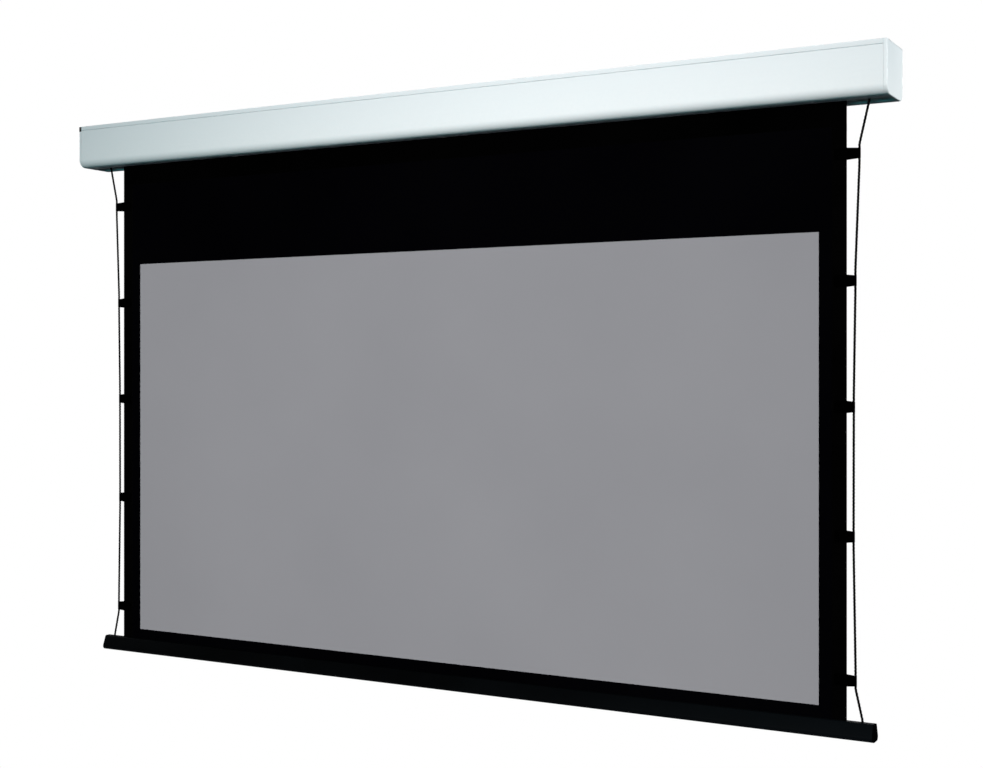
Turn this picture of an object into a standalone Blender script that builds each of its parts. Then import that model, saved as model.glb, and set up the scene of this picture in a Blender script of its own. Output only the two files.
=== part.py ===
# Tab-tensioned roll-down projection screen, hung on a wall with its fabric fully lowered.
# Metres, +Z up, +X along the case, -Y towards the audience.
# The origin is the middle of the case's flat back face, where it lies against the wall.

import math

import bmesh
import bpy
from mathutils import Matrix, Vector

# Running gap left between two pieces that touch
GAP = 0.0003

# Fabric: the grey picture area, its black masking and the welded strips
VIEW_WIDTH = 2.275
VIEW_HEIGHT = 1.200
MASK_SIDE = 0.034
MASK_TOP = 0.2635
MASK_BOTTOM = 0.0315
TAB_STRIP = 0.038
SEAM_DROP = 0.0585
FABRIC = 0.0005
TURNS_LEFT = 7

# Tension tabs, counted from the case down, and the cords that they guide
TAB_FIRST = 0.129
TAB_LAST = 0.1015
TAB_SPACES = (31.9, 31.7, 32.6, 36.1)
TAB_REACHES = (0.0355, 0.0253, 0.0213, 0.0208, 0.0258)
TAB_PATCH = 0.033
TAB_HEIGHT = 0.031
TAB_TIP_HEIGHT = 0.025
TAB_STRAP = 0.0006
CORD_RADIUS = 0.0025
CORD_BAR_OFFSET = 0.043
CORD_STRAIGHT = 0.012
CORD_EASE = 0.08
CORD_EASE_STEPS = 3

# Roller tube with its fabric groove
ROLLER_RADIUS = 0.030
ROLLER_WALL = 0.0015
GROOVE_WIDTH = 0.007
GROOVE_DEPTH = 0.004
ROLLER_END_CLEARANCE = 0.002

# Cord spools on the two ends of the roller
SPOOL_DEPTH = 0.00795
SPOOL_WIDTH = 0.013
SPOOL_FLANGE = 0.0015
SPOOL_INSET = 0.013

# Tubular motor inside the left end of the roller
MOTOR_RADIUS = 0.0225
MOTOR_LENGTH = 0.500
HEAD_RADIUS = 0.0245
HEAD_LENGTH = 0.014
STUB_SIZE = 0.012
STUB_REACH = 0.004
CROWN_LENGTH = 0.030
SHAFT_SIZE = 0.010
SHAFT_LENGTH = 0.026
WHEEL_LENGTH = 0.020
WHEEL_OFFSET = 0.004

# Idler inside the right end of the roller
IDLER_LENGTH = 0.040
PIN_RADIUS = 0.006
PIN_GRIP = 0.035
PIN_REACH = 0.004
BUSH_WALL = 0.003
BUSH_COLLAR = 0.0015
BUSH_COLLAR_RIM = 0.003

# Brackets that carry the roller on the end caps
BRACKET_PLATE = 0.0025
BRACKET_HALF = 0.031
BRACKET_CORNER = 0.006
BOSS_LENGTH = 0.012
BOSS_RADIUS = 0.0045
BOSS_SPACING = 0.048

# Bottom bar
BAR_OVERHANG = 0.0728
BAR_HEIGHT = 0.0445
BAR_TOP_WIDTH = 0.020
BAR_WIDTH = 0.044
BAR_SHOULDER = 0.013
BAR_TOP_RADIUS = 0.004
BAR_LOW_RADIUS = 0.010
BAR_WALL = 0.002
BAR_CAP = 0.004
BAR_PLUG = 0.010
HEM_DEPTH = 0.0075
HEM_ROD_RADIUS = 0.003
HEM_SLIT = 0.0024
HEM_ROD_INSET = 0.002
TENSIONER_LENGTH = 0.024

# Case: a rear extrusion and a front cover that meet in a line near the top
CASE_WALL = 0.002
CASE_CORNER = 0.002
COVER_RADIUS = 0.025
REAR_RADIUS = 0.022
REAR_FLAT = 0.0232
END_SPACE = 0.122
FRONT_CLEARANCE = 0.004
ROLL_CLEARANCE = 0.002
TOP_CLEARANCE = 0.006
SLOT_CLEARANCE = 0.004
BAR_NEST = 0.001
SLOT_LIP = 0.006
TOP_EDGE = 0.013
JOINT_REVEAL = 0.0012
JOINT_TONGUE = 0.008
JOINT_CORNER = 0.0008

# End caps
CAP_LENGTH = 0.010
CAP_PLATE = 0.003
CAP_SKIRT = 0.0025
TONGUE_WIDTH = 0.030
TONGUE_THICKNESS = 0.0015
TONGUE_REACH = 0.010

# Hanging channel in the back of the case and the two wall brackets that hook into it
CHANNEL_TOP = 0.012
CHANNEL_HEIGHT = 0.034
CHANNEL_DEPTH = 0.0075
CHANNEL_LIP = 0.0018
CHANNEL_LIP_HEIGHT = 0.007
HANGER_PLATE = 0.0025
HANGER_WIDTH = 0.060
HANGER_FROM_END = 0.2815
HANGER_HOLE_RADIUS = 0.00325
HANGER_HOLE_SPACING = 0.036

# Receiver box, its leads and the gland for the supply
RECEIVER_LENGTH = 0.120
RECEIVER_DEPTH = 0.030
RECEIVER_HEIGHT = 0.032
RECEIVER_FROM_END = 0.135
RECEIVER_EDGE = 0.002
LEAD_RADIUS = 0.003
LEAD_SPACING = 0.016
LEAD_STEPS = 14
LEAD_CORNER = 0.3
GLAND_FROM_WALL = 0.029
GLAND_DROP = 0.020
GLAND_NECK_RADIUS = 0.006
GLAND_NECK = 0.009
GLAND_COLLAR_RADIUS = 0.011
GLAND_COLLAR = 0.005
GLAND_DOME_RADIUS = 0.0085
GLAND_DOME_SLOPE = 0.003
GLAND_REACH = 0.014
GLAND_BORE_RADIUS = 0.004
GLAND_BORE_DEPTH = 0.012
NUT_RADIUS = 0.0105
NUT_THICKNESS = 0.003
NUT_SIDES = 6

# Fineness of round shapes, and the distance within which meeting points are welded
ROUND_SIDES = 32
SMALL_SIDES = 20
TINY_SIDES = 12
ARC_STEP = math.radians(15)
SMOOTH_ANGLE = math.radians(40)
WELD = 0.00001

# Places worked out from the sizes above
wound_radius = ROLLER_RADIUS + GAP + TURNS_LEFT * FABRIC
wind_radius = wound_radius + GAP + FABRIC / 2
hub_radius = wind_radius - CORD_RADIUS - GAP
flange_radius = hub_radius + SPOOL_DEPTH
slot_half = BAR_WIDTH / 2 + SLOT_CLEARANCE
fabric_y = -(slot_half + REAR_FLAT + REAR_RADIUS)
axis_y = fabric_y - wind_radius
front_y = axis_y - flange_radius - FRONT_CLEARANCE - CASE_WALL
case_height = (BAR_NEST + BAR_HEIGHT + ROLL_CLEARANCE + 2 * flange_radius
               + TOP_CLEARANCE + CASE_WALL)
top_z = case_height / 2
low_z = -case_height / 2
axis_z = low_z + BAR_NEST + BAR_HEIGHT + ROLL_CLEARANCE + flange_radius
sheet_half = VIEW_WIDTH / 2 + MASK_SIDE
fabric_half = sheet_half + TAB_STRIP
case_half = fabric_half + END_SPACE
bar_half = fabric_half + BAR_OVERHANG
extrusion_half = case_half - CAP_LENGTH - GAP
seam_z = low_z - SEAM_DROP
view_top_z = seam_z - MASK_TOP
view_low_z = view_top_z - VIEW_HEIGHT
bar_top_z = view_low_z - MASK_BOTTOM
bar_low_z = bar_top_z - BAR_HEIGHT
hem_z = bar_top_z - HEM_DEPTH
channel_radius = HEM_ROD_RADIUS + GAP
fabric_low_z = hem_z + channel_radius
boss_end = case_half - CAP_PLATE - BOSS_LENGTH
bracket_outer = boss_end - GAP
bracket_inner = bracket_outer - BRACKET_PLATE
head_inner = bracket_inner - GAP - HEAD_LENGTH
tube_end = head_inner - ROLLER_END_CLEARANCE
spool_x = tube_end - SPOOL_INSET - SPOOL_WIDTH / 2
bore_radius = ROLLER_RADIUS - ROLLER_WALL
insert_radius = bore_radius - GAP
rib_reach = GROOVE_DEPTH + ROLLER_WALL
cord_bar_x = fabric_half + CORD_BAR_OFFSET
channel_top_z = top_z - CHANNEL_TOP
channel_low_z = channel_top_z - CHANNEL_HEIGHT

along_x = (math.pi / 2, 0, math.pi / 2)
along_y = (math.pi / 2, 0, 0)
along_z = (0, 0, 0)
turned_right = (0, math.pi / 2, 0)
turned_left = (0, -math.pi / 2, 0)


def clear_scene():
    for old in list(bpy.data.objects):
        bpy.data.objects.remove(old, do_unlink=True)


def new_collection(name):
    collection = bpy.data.collections.new(name)
    bpy.context.scene.collection.children.link(collection)
    return collection


def make_material(name, colour, metallic, roughness):
    material = bpy.data.materials.new(name)
    material.use_nodes = True
    shader = material.node_tree.nodes["Principled BSDF"]
    shader.inputs["Base Color"].default_value = (*colour, 1)
    shader.inputs["Metallic"].default_value = metallic
    shader.inputs["Roughness"].default_value = roughness
    return material


def finish(thing, colour):
    thing.data.materials.clear()
    thing.data.materials.append(materials[colour])
    return thing


def add_object(name, data, collection):
    thing = bpy.data.objects.new(name, data)
    collection.objects.link(thing)
    return thing


def rounded(corners):
    # An outline of (across, up, radius) corners, each round one as an arc
    outline = []
    for i, (x, y, radius) in enumerate(corners):
        corner = Vector((x, y))
        if radius == 0:
            outline.append((x, y))
            continue
        before = Vector(corners[i - 1][:2]) - corner
        after = Vector(corners[(i + 1) % len(corners)][:2]) - corner
        half_angle = before.angle(after) / 2
        centre = corner + (before.normalized() + after.normalized()).normalized() * (
            radius / math.sin(half_angle)
        )
        start = corner + before.normalized() * (radius / math.tan(half_angle)) - centre
        sweep = math.pi - 2 * half_angle
        turn = 1 if before.cross(after) < 0 else -1
        steps = max(2, math.ceil(sweep / ARC_STEP))
        for step in range(steps + 1):
            spoke = Matrix.Rotation(turn * sweep * step / steps, 2) @ start
            outline.append(tuple(centre + spoke))
    return outline


def circle(x, y, radius, sides):
    angles = [2 * math.pi * i / sides for i in range(sides)]
    return [(x + radius * math.cos(angle), y + radius * math.sin(angle)) for angle in angles]


def rectangle(x_low, x_high, y_low, y_high):
    return [(x_low, y_low), (x_high, y_low), (x_high, y_high), (x_low, y_high)]


def prism(name, loops, low, high, direction, collection):
    # A flat outline with its holes, extruded from low to high along X, Y or Z
    curve = bpy.data.curves.new(name, "CURVE")
    curve.dimensions = "2D"
    curve.fill_mode = "BOTH"
    curve.extrude = (high - low) / 2
    for loop in loops:
        spline = curve.splines.new("POLY")
        spline.points.add(len(loop) - 1)
        for point, (x, y) in zip(spline.points, loop):
            point.co = (x, y, 0, 1)
        spline.use_cyclic_u = True
        spline.use_smooth = False
    thing = add_object(name, curve, collection)
    thing.rotation_euler = direction
    middle = (low + high) / 2
    places = {along_x: (middle, 0, 0), along_y: (0, middle, 0), along_z: (0, 0, middle)}
    thing.location = places[direction]
    return thing


def as_mesh(thing):
    # A curve made into a mesh with welded caps, so that it can be cut or joined
    bpy.context.view_layer.update()
    evaluated = thing.evaluated_get(bpy.context.evaluated_depsgraph_get())
    mesh = bpy.data.meshes.new_from_object(evaluated)
    shape = bmesh.new()
    shape.from_mesh(mesh)
    bmesh.ops.remove_doubles(shape, verts=shape.verts, dist=WELD)
    bmesh.ops.recalc_face_normals(shape, faces=shape.faces)
    shape.to_mesh(mesh)
    shape.free()
    name = thing.name
    place = thing.matrix_world.copy()
    collection = thing.users_collection[0]
    bpy.data.objects.remove(thing, do_unlink=True)
    solid = add_object(name, mesh, collection)
    solid.matrix_world = place
    return solid


def solid_prism(name, loops, low, high, direction, collection):
    return as_mesh(prism(name, loops, low, high, direction, collection))


def box(name, low, high, collection):
    mesh = bpy.data.meshes.new(name)
    shape = bmesh.new()
    size = Vector(high) - Vector(low)
    bmesh.ops.create_cube(shape, size=1, matrix=Matrix.Diagonal((*size, 1)))
    shape.to_mesh(mesh)
    shape.free()
    thing = add_object(name, mesh, collection)
    thing.location = (Vector(low) + Vector(high)) / 2
    return thing


def cylinder(name, radius, low, high, middle, collection, direction=turned_right, sides=SMALL_SIDES):
    # A round bar from low to high along X, or along Z or Y when turned that way
    mesh = bpy.data.meshes.new(name)
    shape = bmesh.new()
    bmesh.ops.create_cone(
        shape, cap_ends=True, segments=sides, radius1=radius, radius2=radius, depth=high - low
    )
    shape.to_mesh(mesh)
    shape.free()
    mesh.shade_smooth()
    mesh.set_sharp_from_angle(angle=SMOOTH_ANGLE)
    thing = add_object(name, mesh, collection)
    thing.rotation_euler = direction
    centre = (low + high) / 2
    places = {
        turned_right: (centre, *middle),
        along_y: (middle[0], centre, middle[1]),
        along_z: (*middle, centre),
    }
    thing.location = places[direction]
    return thing


def turned(name, profile, closed, place, direction, sides, collection):
    # A profile of (radius, height) points, turned about the height axis
    mesh = bpy.data.meshes.new(name)
    shape = bmesh.new()
    points = [shape.verts.new((radius, 0, height)) for radius, height in profile]
    for first, second in zip(points, points[1:]):
        shape.edges.new((first, second))
    if closed:
        shape.edges.new((points[-1], points[0]))
    shape.to_mesh(mesh)
    shape.free()
    thing = add_object(name, mesh, collection)
    screw = thing.modifiers.new("turn", "SCREW")
    screw.axis = "Z"
    screw.steps = sides
    screw.render_steps = sides
    screw.use_merge_vertices = True
    screw.merge_threshold = WELD
    screw.use_smooth_shade = False
    thing.rotation_euler = direction
    thing.location = place
    return thing


def combine(thing, operand, operation):
    operand.hide_render = True
    operand.display_type = "WIRE"
    change = thing.modifiers.new(operand.name, "BOOLEAN")
    change.operation = operation
    change.object = operand
    return thing


def cord(name, points, radius, collection):
    curve = bpy.data.curves.new(name, "CURVE")
    curve.dimensions = "3D"
    curve.bevel_depth = radius
    curve.bevel_resolution = 2
    curve.use_fill_caps = True
    spline = curve.splines.new("POLY")
    spline.points.add(len(points) - 1)
    for point, place in zip(spline.points, points):
        point.co = (*place, 1)
    return add_object(name, curve, collection)


def bent(start, start_pull, end_pull, end, steps):
    # Points along a smooth bend between two ends, each leaving in its own direction
    return [
        start * (1 - t) ** 3
        + start_pull * 3 * (1 - t) ** 2 * t
        + end_pull * 3 * (1 - t) * t**2
        + end * t**3
        for t in (step / steps for step in range(steps + 1))
    ]


def make_rear_housing():
    # Top, back and rear underside of the case, in one extrusion with the hanging channel
    inner_front = front_y + 2 * CASE_WALL + GAP
    slot_rear = fabric_y + slot_half
    channel_wall = -(CHANNEL_DEPTH + CASE_WALL)
    section = rounded([
        (front_y, top_z - TOP_EDGE, 0),
        (front_y, top_z, CASE_CORNER),
        (0, top_z, CASE_CORNER),
        (0, channel_top_z - CHANNEL_LIP_HEIGHT, 0),
        (-CHANNEL_LIP, channel_top_z - CHANNEL_LIP_HEIGHT, 0),
        (-CHANNEL_LIP, channel_top_z, 0),
        (-CHANNEL_DEPTH, channel_top_z, 0),
        (-CHANNEL_DEPTH, channel_low_z, 0),
        (0, channel_low_z, 0),
        (0, low_z, REAR_RADIUS),
        (slot_rear, low_z, 0),
        (slot_rear, low_z + SLOT_LIP, 0),
        (slot_rear + CASE_WALL, low_z + SLOT_LIP, 0),
        (slot_rear + CASE_WALL, low_z + CASE_WALL, 0),
        (-CASE_WALL, low_z + CASE_WALL, REAR_RADIUS - CASE_WALL),
        (-CASE_WALL, channel_low_z - CASE_WALL, 0),
        (channel_wall, channel_low_z - CASE_WALL, 0),
        (channel_wall, channel_top_z + CASE_WALL, 0),
        (-CASE_WALL, channel_top_z + CASE_WALL, 0),
        (-CASE_WALL, top_z - CASE_WALL, 0),
        (inner_front, top_z - CASE_WALL, 0),
        (inner_front, top_z - TOP_EDGE - JOINT_TONGUE, 0),
        (front_y + CASE_WALL + GAP, top_z - TOP_EDGE - JOINT_TONGUE, 0),
        (front_y + CASE_WALL + GAP, top_z - TOP_EDGE, 0),
    ])
    finish(prism("rear_housing", [section], -extrusion_half, extrusion_half, along_x, parts), "case")


def make_front_cover():
    # Front panel, rolled under the case to the front lip of the slot
    joint_z = top_z - TOP_EDGE - JOINT_REVEAL
    slot_front = fabric_y - slot_half
    section = rounded([
        (front_y, joint_z, JOINT_CORNER),
        (front_y, low_z, COVER_RADIUS),
        (slot_front, low_z, 0),
        (slot_front, low_z + SLOT_LIP, 0),
        (slot_front - CASE_WALL, low_z + SLOT_LIP, 0),
        (slot_front - CASE_WALL, low_z + CASE_WALL, 0),
        (front_y + CASE_WALL, low_z + CASE_WALL, COVER_RADIUS - CASE_WALL),
        (front_y + CASE_WALL, joint_z, 0),
    ])
    finish(prism("front_cover", [section], -extrusion_half, extrusion_half, along_x, parts), "case")


def case_outline(inset):
    return rounded([
        (front_y + inset, low_z + inset, COVER_RADIUS - inset),
        (-inset, low_z + inset, REAR_RADIUS - inset),
        (-inset, top_z - inset, CASE_CORNER),
        (front_y + inset, top_z - inset, CASE_CORNER),
    ])


def make_end_cap(name, side):
    # A moulded cap with a hollow back, locating tongues and four bosses for the roller bracket
    def span(near, far):
        return sorted((side * near, side * far))

    cap = solid_prism(name, [case_outline(0)], *span(case_half - CAP_LENGTH, case_half), along_x, parts)
    pocket = solid_prism(
        name + "_pocket", [case_outline(CAP_SKIRT)],
        *span(case_half - CAP_LENGTH - CASE_WALL, case_half - CAP_PLATE), along_x, cutters,
    )
    combine(cap, pocket, "DIFFERENCE")
    root = case_half - CAP_PLATE / 2
    reach = extrusion_half - TONGUE_REACH
    seat = CASE_WALL + GAP
    middle_y = front_y / 2
    tongues = {
        "top": ((middle_y - TONGUE_WIDTH / 2, top_z - seat - TONGUE_THICKNESS),
                (middle_y + TONGUE_WIDTH / 2, top_z - seat)),
        "back": ((-seat - TONGUE_THICKNESS, low_z + REAR_RADIUS),
                 (-seat, low_z + REAR_RADIUS + TONGUE_WIDTH)),
        "front": ((front_y + seat, low_z + COVER_RADIUS),
                  (front_y + seat + TONGUE_THICKNESS, low_z + COVER_RADIUS + TONGUE_WIDTH)),
    }
    for place, ((y_low, z_low), (y_high, z_high)) in tongues.items():
        x_low, x_high = span(reach, root)
        tongue = box(f"{name}_tongue_{place}", (x_low, y_low, z_low), (x_high, y_high, z_high), cutters)
        combine(cap, tongue, "UNION")
    for i, (across, up) in enumerate(((-1, -1), (-1, 1), (1, -1), (1, 1))):
        middle = (axis_y + across * BOSS_SPACING / 2, axis_z + up * BOSS_SPACING / 2)
        boss = cylinder(f"{name}_boss_{i}", BOSS_RADIUS, *span(boss_end, root), middle, cutters,
                        sides=TINY_SIDES)
        combine(cap, boss, "UNION")
    return finish(cap, "case")


def make_end_caps():
    left = make_end_cap("end_cap_left", -1)
    gland_hole = cylinder(
        "gland_hole", GLAND_NECK_RADIUS + GAP, -case_half - CAP_PLATE, -case_half + 2 * CAP_PLATE,
        (-GLAND_FROM_WALL, -GLAND_DROP), cutters,
    )
    combine(left, gland_hole, "DIFFERENCE")
    make_end_cap("end_cap_right", 1)


def make_wall_brackets():
    # Folded steel hooks, screwed to the wall and caught behind the channel's upper lip
    lip_z = channel_top_z - CHANNEL_LIP_HEIGHT - GAP
    behind = CHANNEL_LIP + GAP
    section = [
        (0, channel_low_z + GAP),
        (0, lip_z),
        (-behind, lip_z),
        (-behind, channel_top_z - GAP),
        (-behind - HANGER_PLATE, channel_top_z - GAP),
        (-behind - HANGER_PLATE, lip_z - HANGER_PLATE),
        (-HANGER_PLATE, lip_z - HANGER_PLATE),
        (-HANGER_PLATE, channel_low_z + GAP),
    ]
    hole_z = (channel_low_z + lip_z - HANGER_PLATE) / 2
    for name, side in (("wall_bracket_left", -1), ("wall_bracket_right", 1)):
        middle = side * (case_half - HANGER_FROM_END)
        plate = solid_prism(
            name, [section], middle - HANGER_WIDTH / 2, middle + HANGER_WIDTH / 2, along_x, parts
        )
        for end in (-1, 1):
            hole = cylinder(
                f"{name}_hole_{end}", HANGER_HOLE_RADIUS, -CHANNEL_DEPTH, CHANNEL_DEPTH,
                (middle + end * HANGER_HOLE_SPACING / 2, hole_z), cutters, along_y,
            )
            combine(plate, hole, "DIFFERENCE")
        finish(plate, "steel")


def bracket_outline():
    return rounded([
        (axis_y - BRACKET_HALF, axis_z - BRACKET_HALF, BRACKET_CORNER),
        (axis_y + BRACKET_HALF, axis_z - BRACKET_HALF, BRACKET_CORNER),
        (axis_y + BRACKET_HALF, axis_z + BRACKET_HALF, BRACKET_CORNER),
        (axis_y - BRACKET_HALF, axis_z + BRACKET_HALF, BRACKET_CORNER),
    ])


def square(half):
    return rectangle(axis_y - half, axis_y + half, axis_z - half, axis_z + half)


def make_motor():
    # The motor stands still inside the roller, held by its head on the left bracket
    hole = square(STUB_SIZE / 2 + GAP)
    plate = prism(
        "motor_bracket", [bracket_outline(), hole], -bracket_outer, -bracket_inner, along_x, parts
    )
    finish(plate, "steel")
    head = cylinder(
        "motor_head", HEAD_RADIUS, -bracket_inner + GAP, -head_inner, (axis_y, axis_z), parts,
        sides=ROUND_SIDES,
    )
    stub = box(
        "motor_stub",
        (-bracket_outer - STUB_REACH, axis_y - STUB_SIZE / 2, axis_z - STUB_SIZE / 2),
        (-bracket_inner + HEAD_LENGTH / 2, axis_y + STUB_SIZE / 2, axis_z + STUB_SIZE / 2),
        cutters,
    )
    combine(head, stub, "UNION")
    finish(head, "black_plastic")
    motor = cylinder(
        "motor_tube", MOTOR_RADIUS, -head_inner + GAP, -head_inner + MOTOR_LENGTH, (axis_y, axis_z),
        parts, sides=ROUND_SIDES,
    )
    finish(motor, "zinc")


def keyed_outline(radius, key_half, key_reach):
    # A circle with a keyway at the front, into which the tube's inner rib fits
    start = math.asin(key_half / radius)
    sweep = 2 * math.pi - 2 * start
    points = []
    for i in range(ROUND_SIDES + 1):
        angle = math.pi + start + sweep * i / ROUND_SIDES
        points.append((axis_y + radius * math.cos(angle), axis_z + radius * math.sin(angle)))
    points.append((axis_y - key_reach, axis_z + key_half))
    points.append((axis_y - key_reach, axis_z - key_half))
    return points


def make_roller():
    # Aluminium tube, with a groove outside for the fabric's spline and a rib inside for the drive
    outside = keyed_outline(ROLLER_RADIUS, GROOVE_WIDTH / 2, ROLLER_RADIUS - GROOVE_DEPTH)
    inside = keyed_outline(bore_radius, GROOVE_WIDTH / 2 + ROLLER_WALL, ROLLER_RADIUS - rib_reach)
    finish(prism("roller_tube", [outside, inside], -tube_end, tube_end, along_x, parts), "aluminium")

    insert = keyed_outline(
        insert_radius, GROOVE_WIDTH / 2 + ROLLER_WALL + GAP, ROLLER_RADIUS - rib_reach - GAP
    )
    motor_hole = circle(axis_y, axis_z, MOTOR_RADIUS + GAP, ROUND_SIDES)
    crown = prism(
        "motor_crown", [insert, motor_hole], -tube_end, -tube_end + CROWN_LENGTH, along_x, parts
    )
    finish(crown, "black_plastic")

    shaft_start = -head_inner + MOTOR_LENGTH + GAP
    shaft = box(
        "output_shaft",
        (shaft_start, axis_y - SHAFT_SIZE / 2, axis_z - SHAFT_SIZE / 2),
        (shaft_start + SHAFT_LENGTH, axis_y + SHAFT_SIZE / 2, axis_z + SHAFT_SIZE / 2),
        parts,
    )
    finish(shaft, "steel")
    wheel_start = shaft_start + WHEEL_OFFSET
    wheel = prism(
        "drive_wheel", [insert, square(SHAFT_SIZE / 2 + GAP)], wheel_start,
        wheel_start + WHEEL_LENGTH, along_x, parts,
    )
    finish(wheel, "black_plastic")

    pin_hole = circle(axis_y, axis_z, PIN_RADIUS + GAP, SMALL_SIDES)
    plug = prism(
        "idler_plug", [insert, pin_hole], tube_end - IDLER_LENGTH, tube_end, along_x, parts
    )
    finish(plug, "black_plastic")
    pin = cylinder(
        "idler_pin", PIN_RADIUS, tube_end - PIN_GRIP, bracket_outer + PIN_REACH, (axis_y, axis_z), parts
    )
    finish(pin, "steel")

    spline_depth = (ROLLER_RADIUS - GROOVE_DEPTH + GAP, ROLLER_RADIUS - GAP)
    spline = box(
        "fabric_spline",
        (-fabric_half, axis_y - spline_depth[1], axis_z - GROOVE_WIDTH / 2 + GAP),
        (fabric_half, axis_y - spline_depth[0], axis_z + GROOVE_WIDTH / 2 - GAP),
        parts,
    )
    finish(spline, "black_plastic")
    turns = prism(
        "wound_turns",
        [circle(axis_y, axis_z, wound_radius, ROUND_SIDES),
         circle(axis_y, axis_z, ROLLER_RADIUS + GAP, ROUND_SIDES)],
        -fabric_half, fabric_half, along_x, parts,
    )
    finish(turns, "black_fabric")


def make_idler_bracket():
    # Right bracket, with the collared bush in which the idler pin turns
    bush_radius = PIN_RADIUS + GAP + BUSH_WALL
    hole = circle(axis_y, axis_z, bush_radius + GAP, SMALL_SIDES)
    plate = prism(
        "idler_bracket", [bracket_outline(), hole], bracket_inner, bracket_outer, along_x, parts
    )
    finish(plate, "steel")
    collar_radius = bush_radius + BUSH_COLLAR_RIM
    profile = [
        (bush_radius, BRACKET_PLATE),
        (bush_radius, -GAP),
        (collar_radius, -GAP),
        (collar_radius, -GAP - BUSH_COLLAR),
        (PIN_RADIUS + GAP, -GAP - BUSH_COLLAR),
        (PIN_RADIUS + GAP, BRACKET_PLATE),
    ]
    bush = turned(
        "idler_bush", profile, True, (bracket_inner, axis_y, axis_z), turned_right, SMALL_SIDES, parts
    )
    finish(bush, "white_plastic")


def make_spools():
    # Flanged drums at the roller's ends, on which the tension cords wind with the fabric
    half = SPOOL_WIDTH / 2
    groove = half - SPOOL_FLANGE
    bore = ROLLER_RADIUS + GAP
    profile = [
        (flange_radius, half),
        (flange_radius, groove),
        (hub_radius, groove),
        (hub_radius, -groove),
        (flange_radius, -groove),
        (flange_radius, -half),
        (bore, -half),
        (bore, half),
    ]
    for name, side in (("cord_spool_left", -1), ("cord_spool_right", 1)):
        spool = turned(
            name, profile, True, (side * spool_x, axis_y, axis_z), turned_right, ROUND_SIDES, parts
        )
        finish(spool, "black_plastic")


def bar_corners(inset):
    # The rear half of the bar's section: narrow at the slit, widest below its shoulder
    top = BAR_TOP_WIDTH / 2 - inset
    wide = BAR_WIDTH / 2 - inset
    shoulder_z = bar_low_z + BAR_SHOULDER
    return {
        "low": (wide, bar_low_z + inset, max(BAR_LOW_RADIUS - inset, 0)),
        "shoulder": (wide, shoulder_z, max(BAR_LOW_RADIUS - inset, 0)),
        "top": (top, bar_top_z - inset, max(BAR_TOP_RADIUS - inset, 0)),
    }


def mirrored_section(half):
    # A closed outline about the fabric's plane, from its rear half listed bottom to top
    rear = [(fabric_y + across, up, radius) for across, up, radius in half]
    front = [(fabric_y - across, up, radius) for across, up, radius in reversed(half)]
    return rounded(rear + front)


def hem_channel():
    # The keyhole in the bar's top, from the front edge of its slit round to the rear edge
    slit = HEM_SLIT / 2
    opening = math.asin(slit / channel_radius)
    sweep = 2 * math.pi - 2 * opening
    points = [(fabric_y + slit, bar_top_z)]
    for i in range(TINY_SIDES + 1):
        angle = math.pi / 2 - opening - sweep * i / TINY_SIDES
        points.append((
            fabric_y + channel_radius * math.cos(angle),
            hem_z + channel_radius * math.sin(angle),
        ))
    points.append((fabric_y - slit, bar_top_z))
    return points


def make_bottom_bar():
    corners = bar_corners(0)
    half = [corners["low"], corners["shoulder"], corners["top"]]
    plain = mirrored_section(half)
    # the channel is let into the top edge, between the last rear point and the first front one
    middle = len(plain) // 2
    section = plain[:middle] + hem_channel() + plain[middle:]
    inner = bar_corners(BAR_WALL)
    ceiling_z = hem_z - channel_radius - BAR_WALL
    lean = (inner["top"][0] - inner["shoulder"][0]) / (inner["top"][1] - inner["shoulder"][1])
    ceiling = (inner["shoulder"][0] + lean * (ceiling_z - inner["shoulder"][1]), ceiling_z, 0)
    hollow_half = [inner["low"], inner["shoulder"], ceiling]
    hollow = mirrored_section(hollow_half)
    profile_end = bar_half - BAR_CAP - GAP
    profile = solid_prism("bar_profile", [section, hollow], -profile_end, profile_end, along_x, parts)
    for side, word in ((-1, "left"), (1, "right")):
        cord_hole = cylinder(
            f"cord_hole_{word}", CORD_RADIUS + GAP, hem_z, bar_top_z + HEM_DEPTH,
            (side * cord_bar_x, fabric_y), cutters, along_z,
        )
        combine(profile, cord_hole, "DIFFERENCE")
    finish(profile, "bar")

    rod = cylinder(
        "hem_rod", HEM_ROD_RADIUS, -fabric_half + HEM_ROD_INSET, fabric_half - HEM_ROD_INSET,
        (fabric_y, hem_z), parts, sides=TINY_SIDES,
    )
    finish(rod, "steel")

    plug_corners = bar_corners(BAR_WALL + GAP)
    plug_ceiling = (ceiling[0] - GAP, ceiling_z - GAP, 0)
    plug_section = mirrored_section([plug_corners["low"], plug_corners["shoulder"], plug_ceiling])
    for side, word in ((-1, "left"), (1, "right")):
        ends = sorted((side * (bar_half - BAR_CAP), side * bar_half))
        cap = solid_prism(f"bar_cap_{word}", [plain], *ends, along_x, parts)
        ends = sorted((side * (profile_end - BAR_PLUG), side * (bar_half - BAR_CAP / 2)))
        plug = solid_prism(f"bar_plug_{word}", [plug_section], *ends, along_x, cutters)
        combine(cap, plug, "UNION")
        finish(cap, "black_plastic")
        middle = side * cord_bar_x
        tensioner = cylinder(
            f"cord_tensioner_{word}", HEM_ROD_RADIUS, middle - TENSIONER_LENGTH / 2,
            middle + TENSIONER_LENGTH / 2, (fabric_y, hem_z), parts, sides=TINY_SIDES,
        )
        finish(tensioner, "steel")


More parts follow.
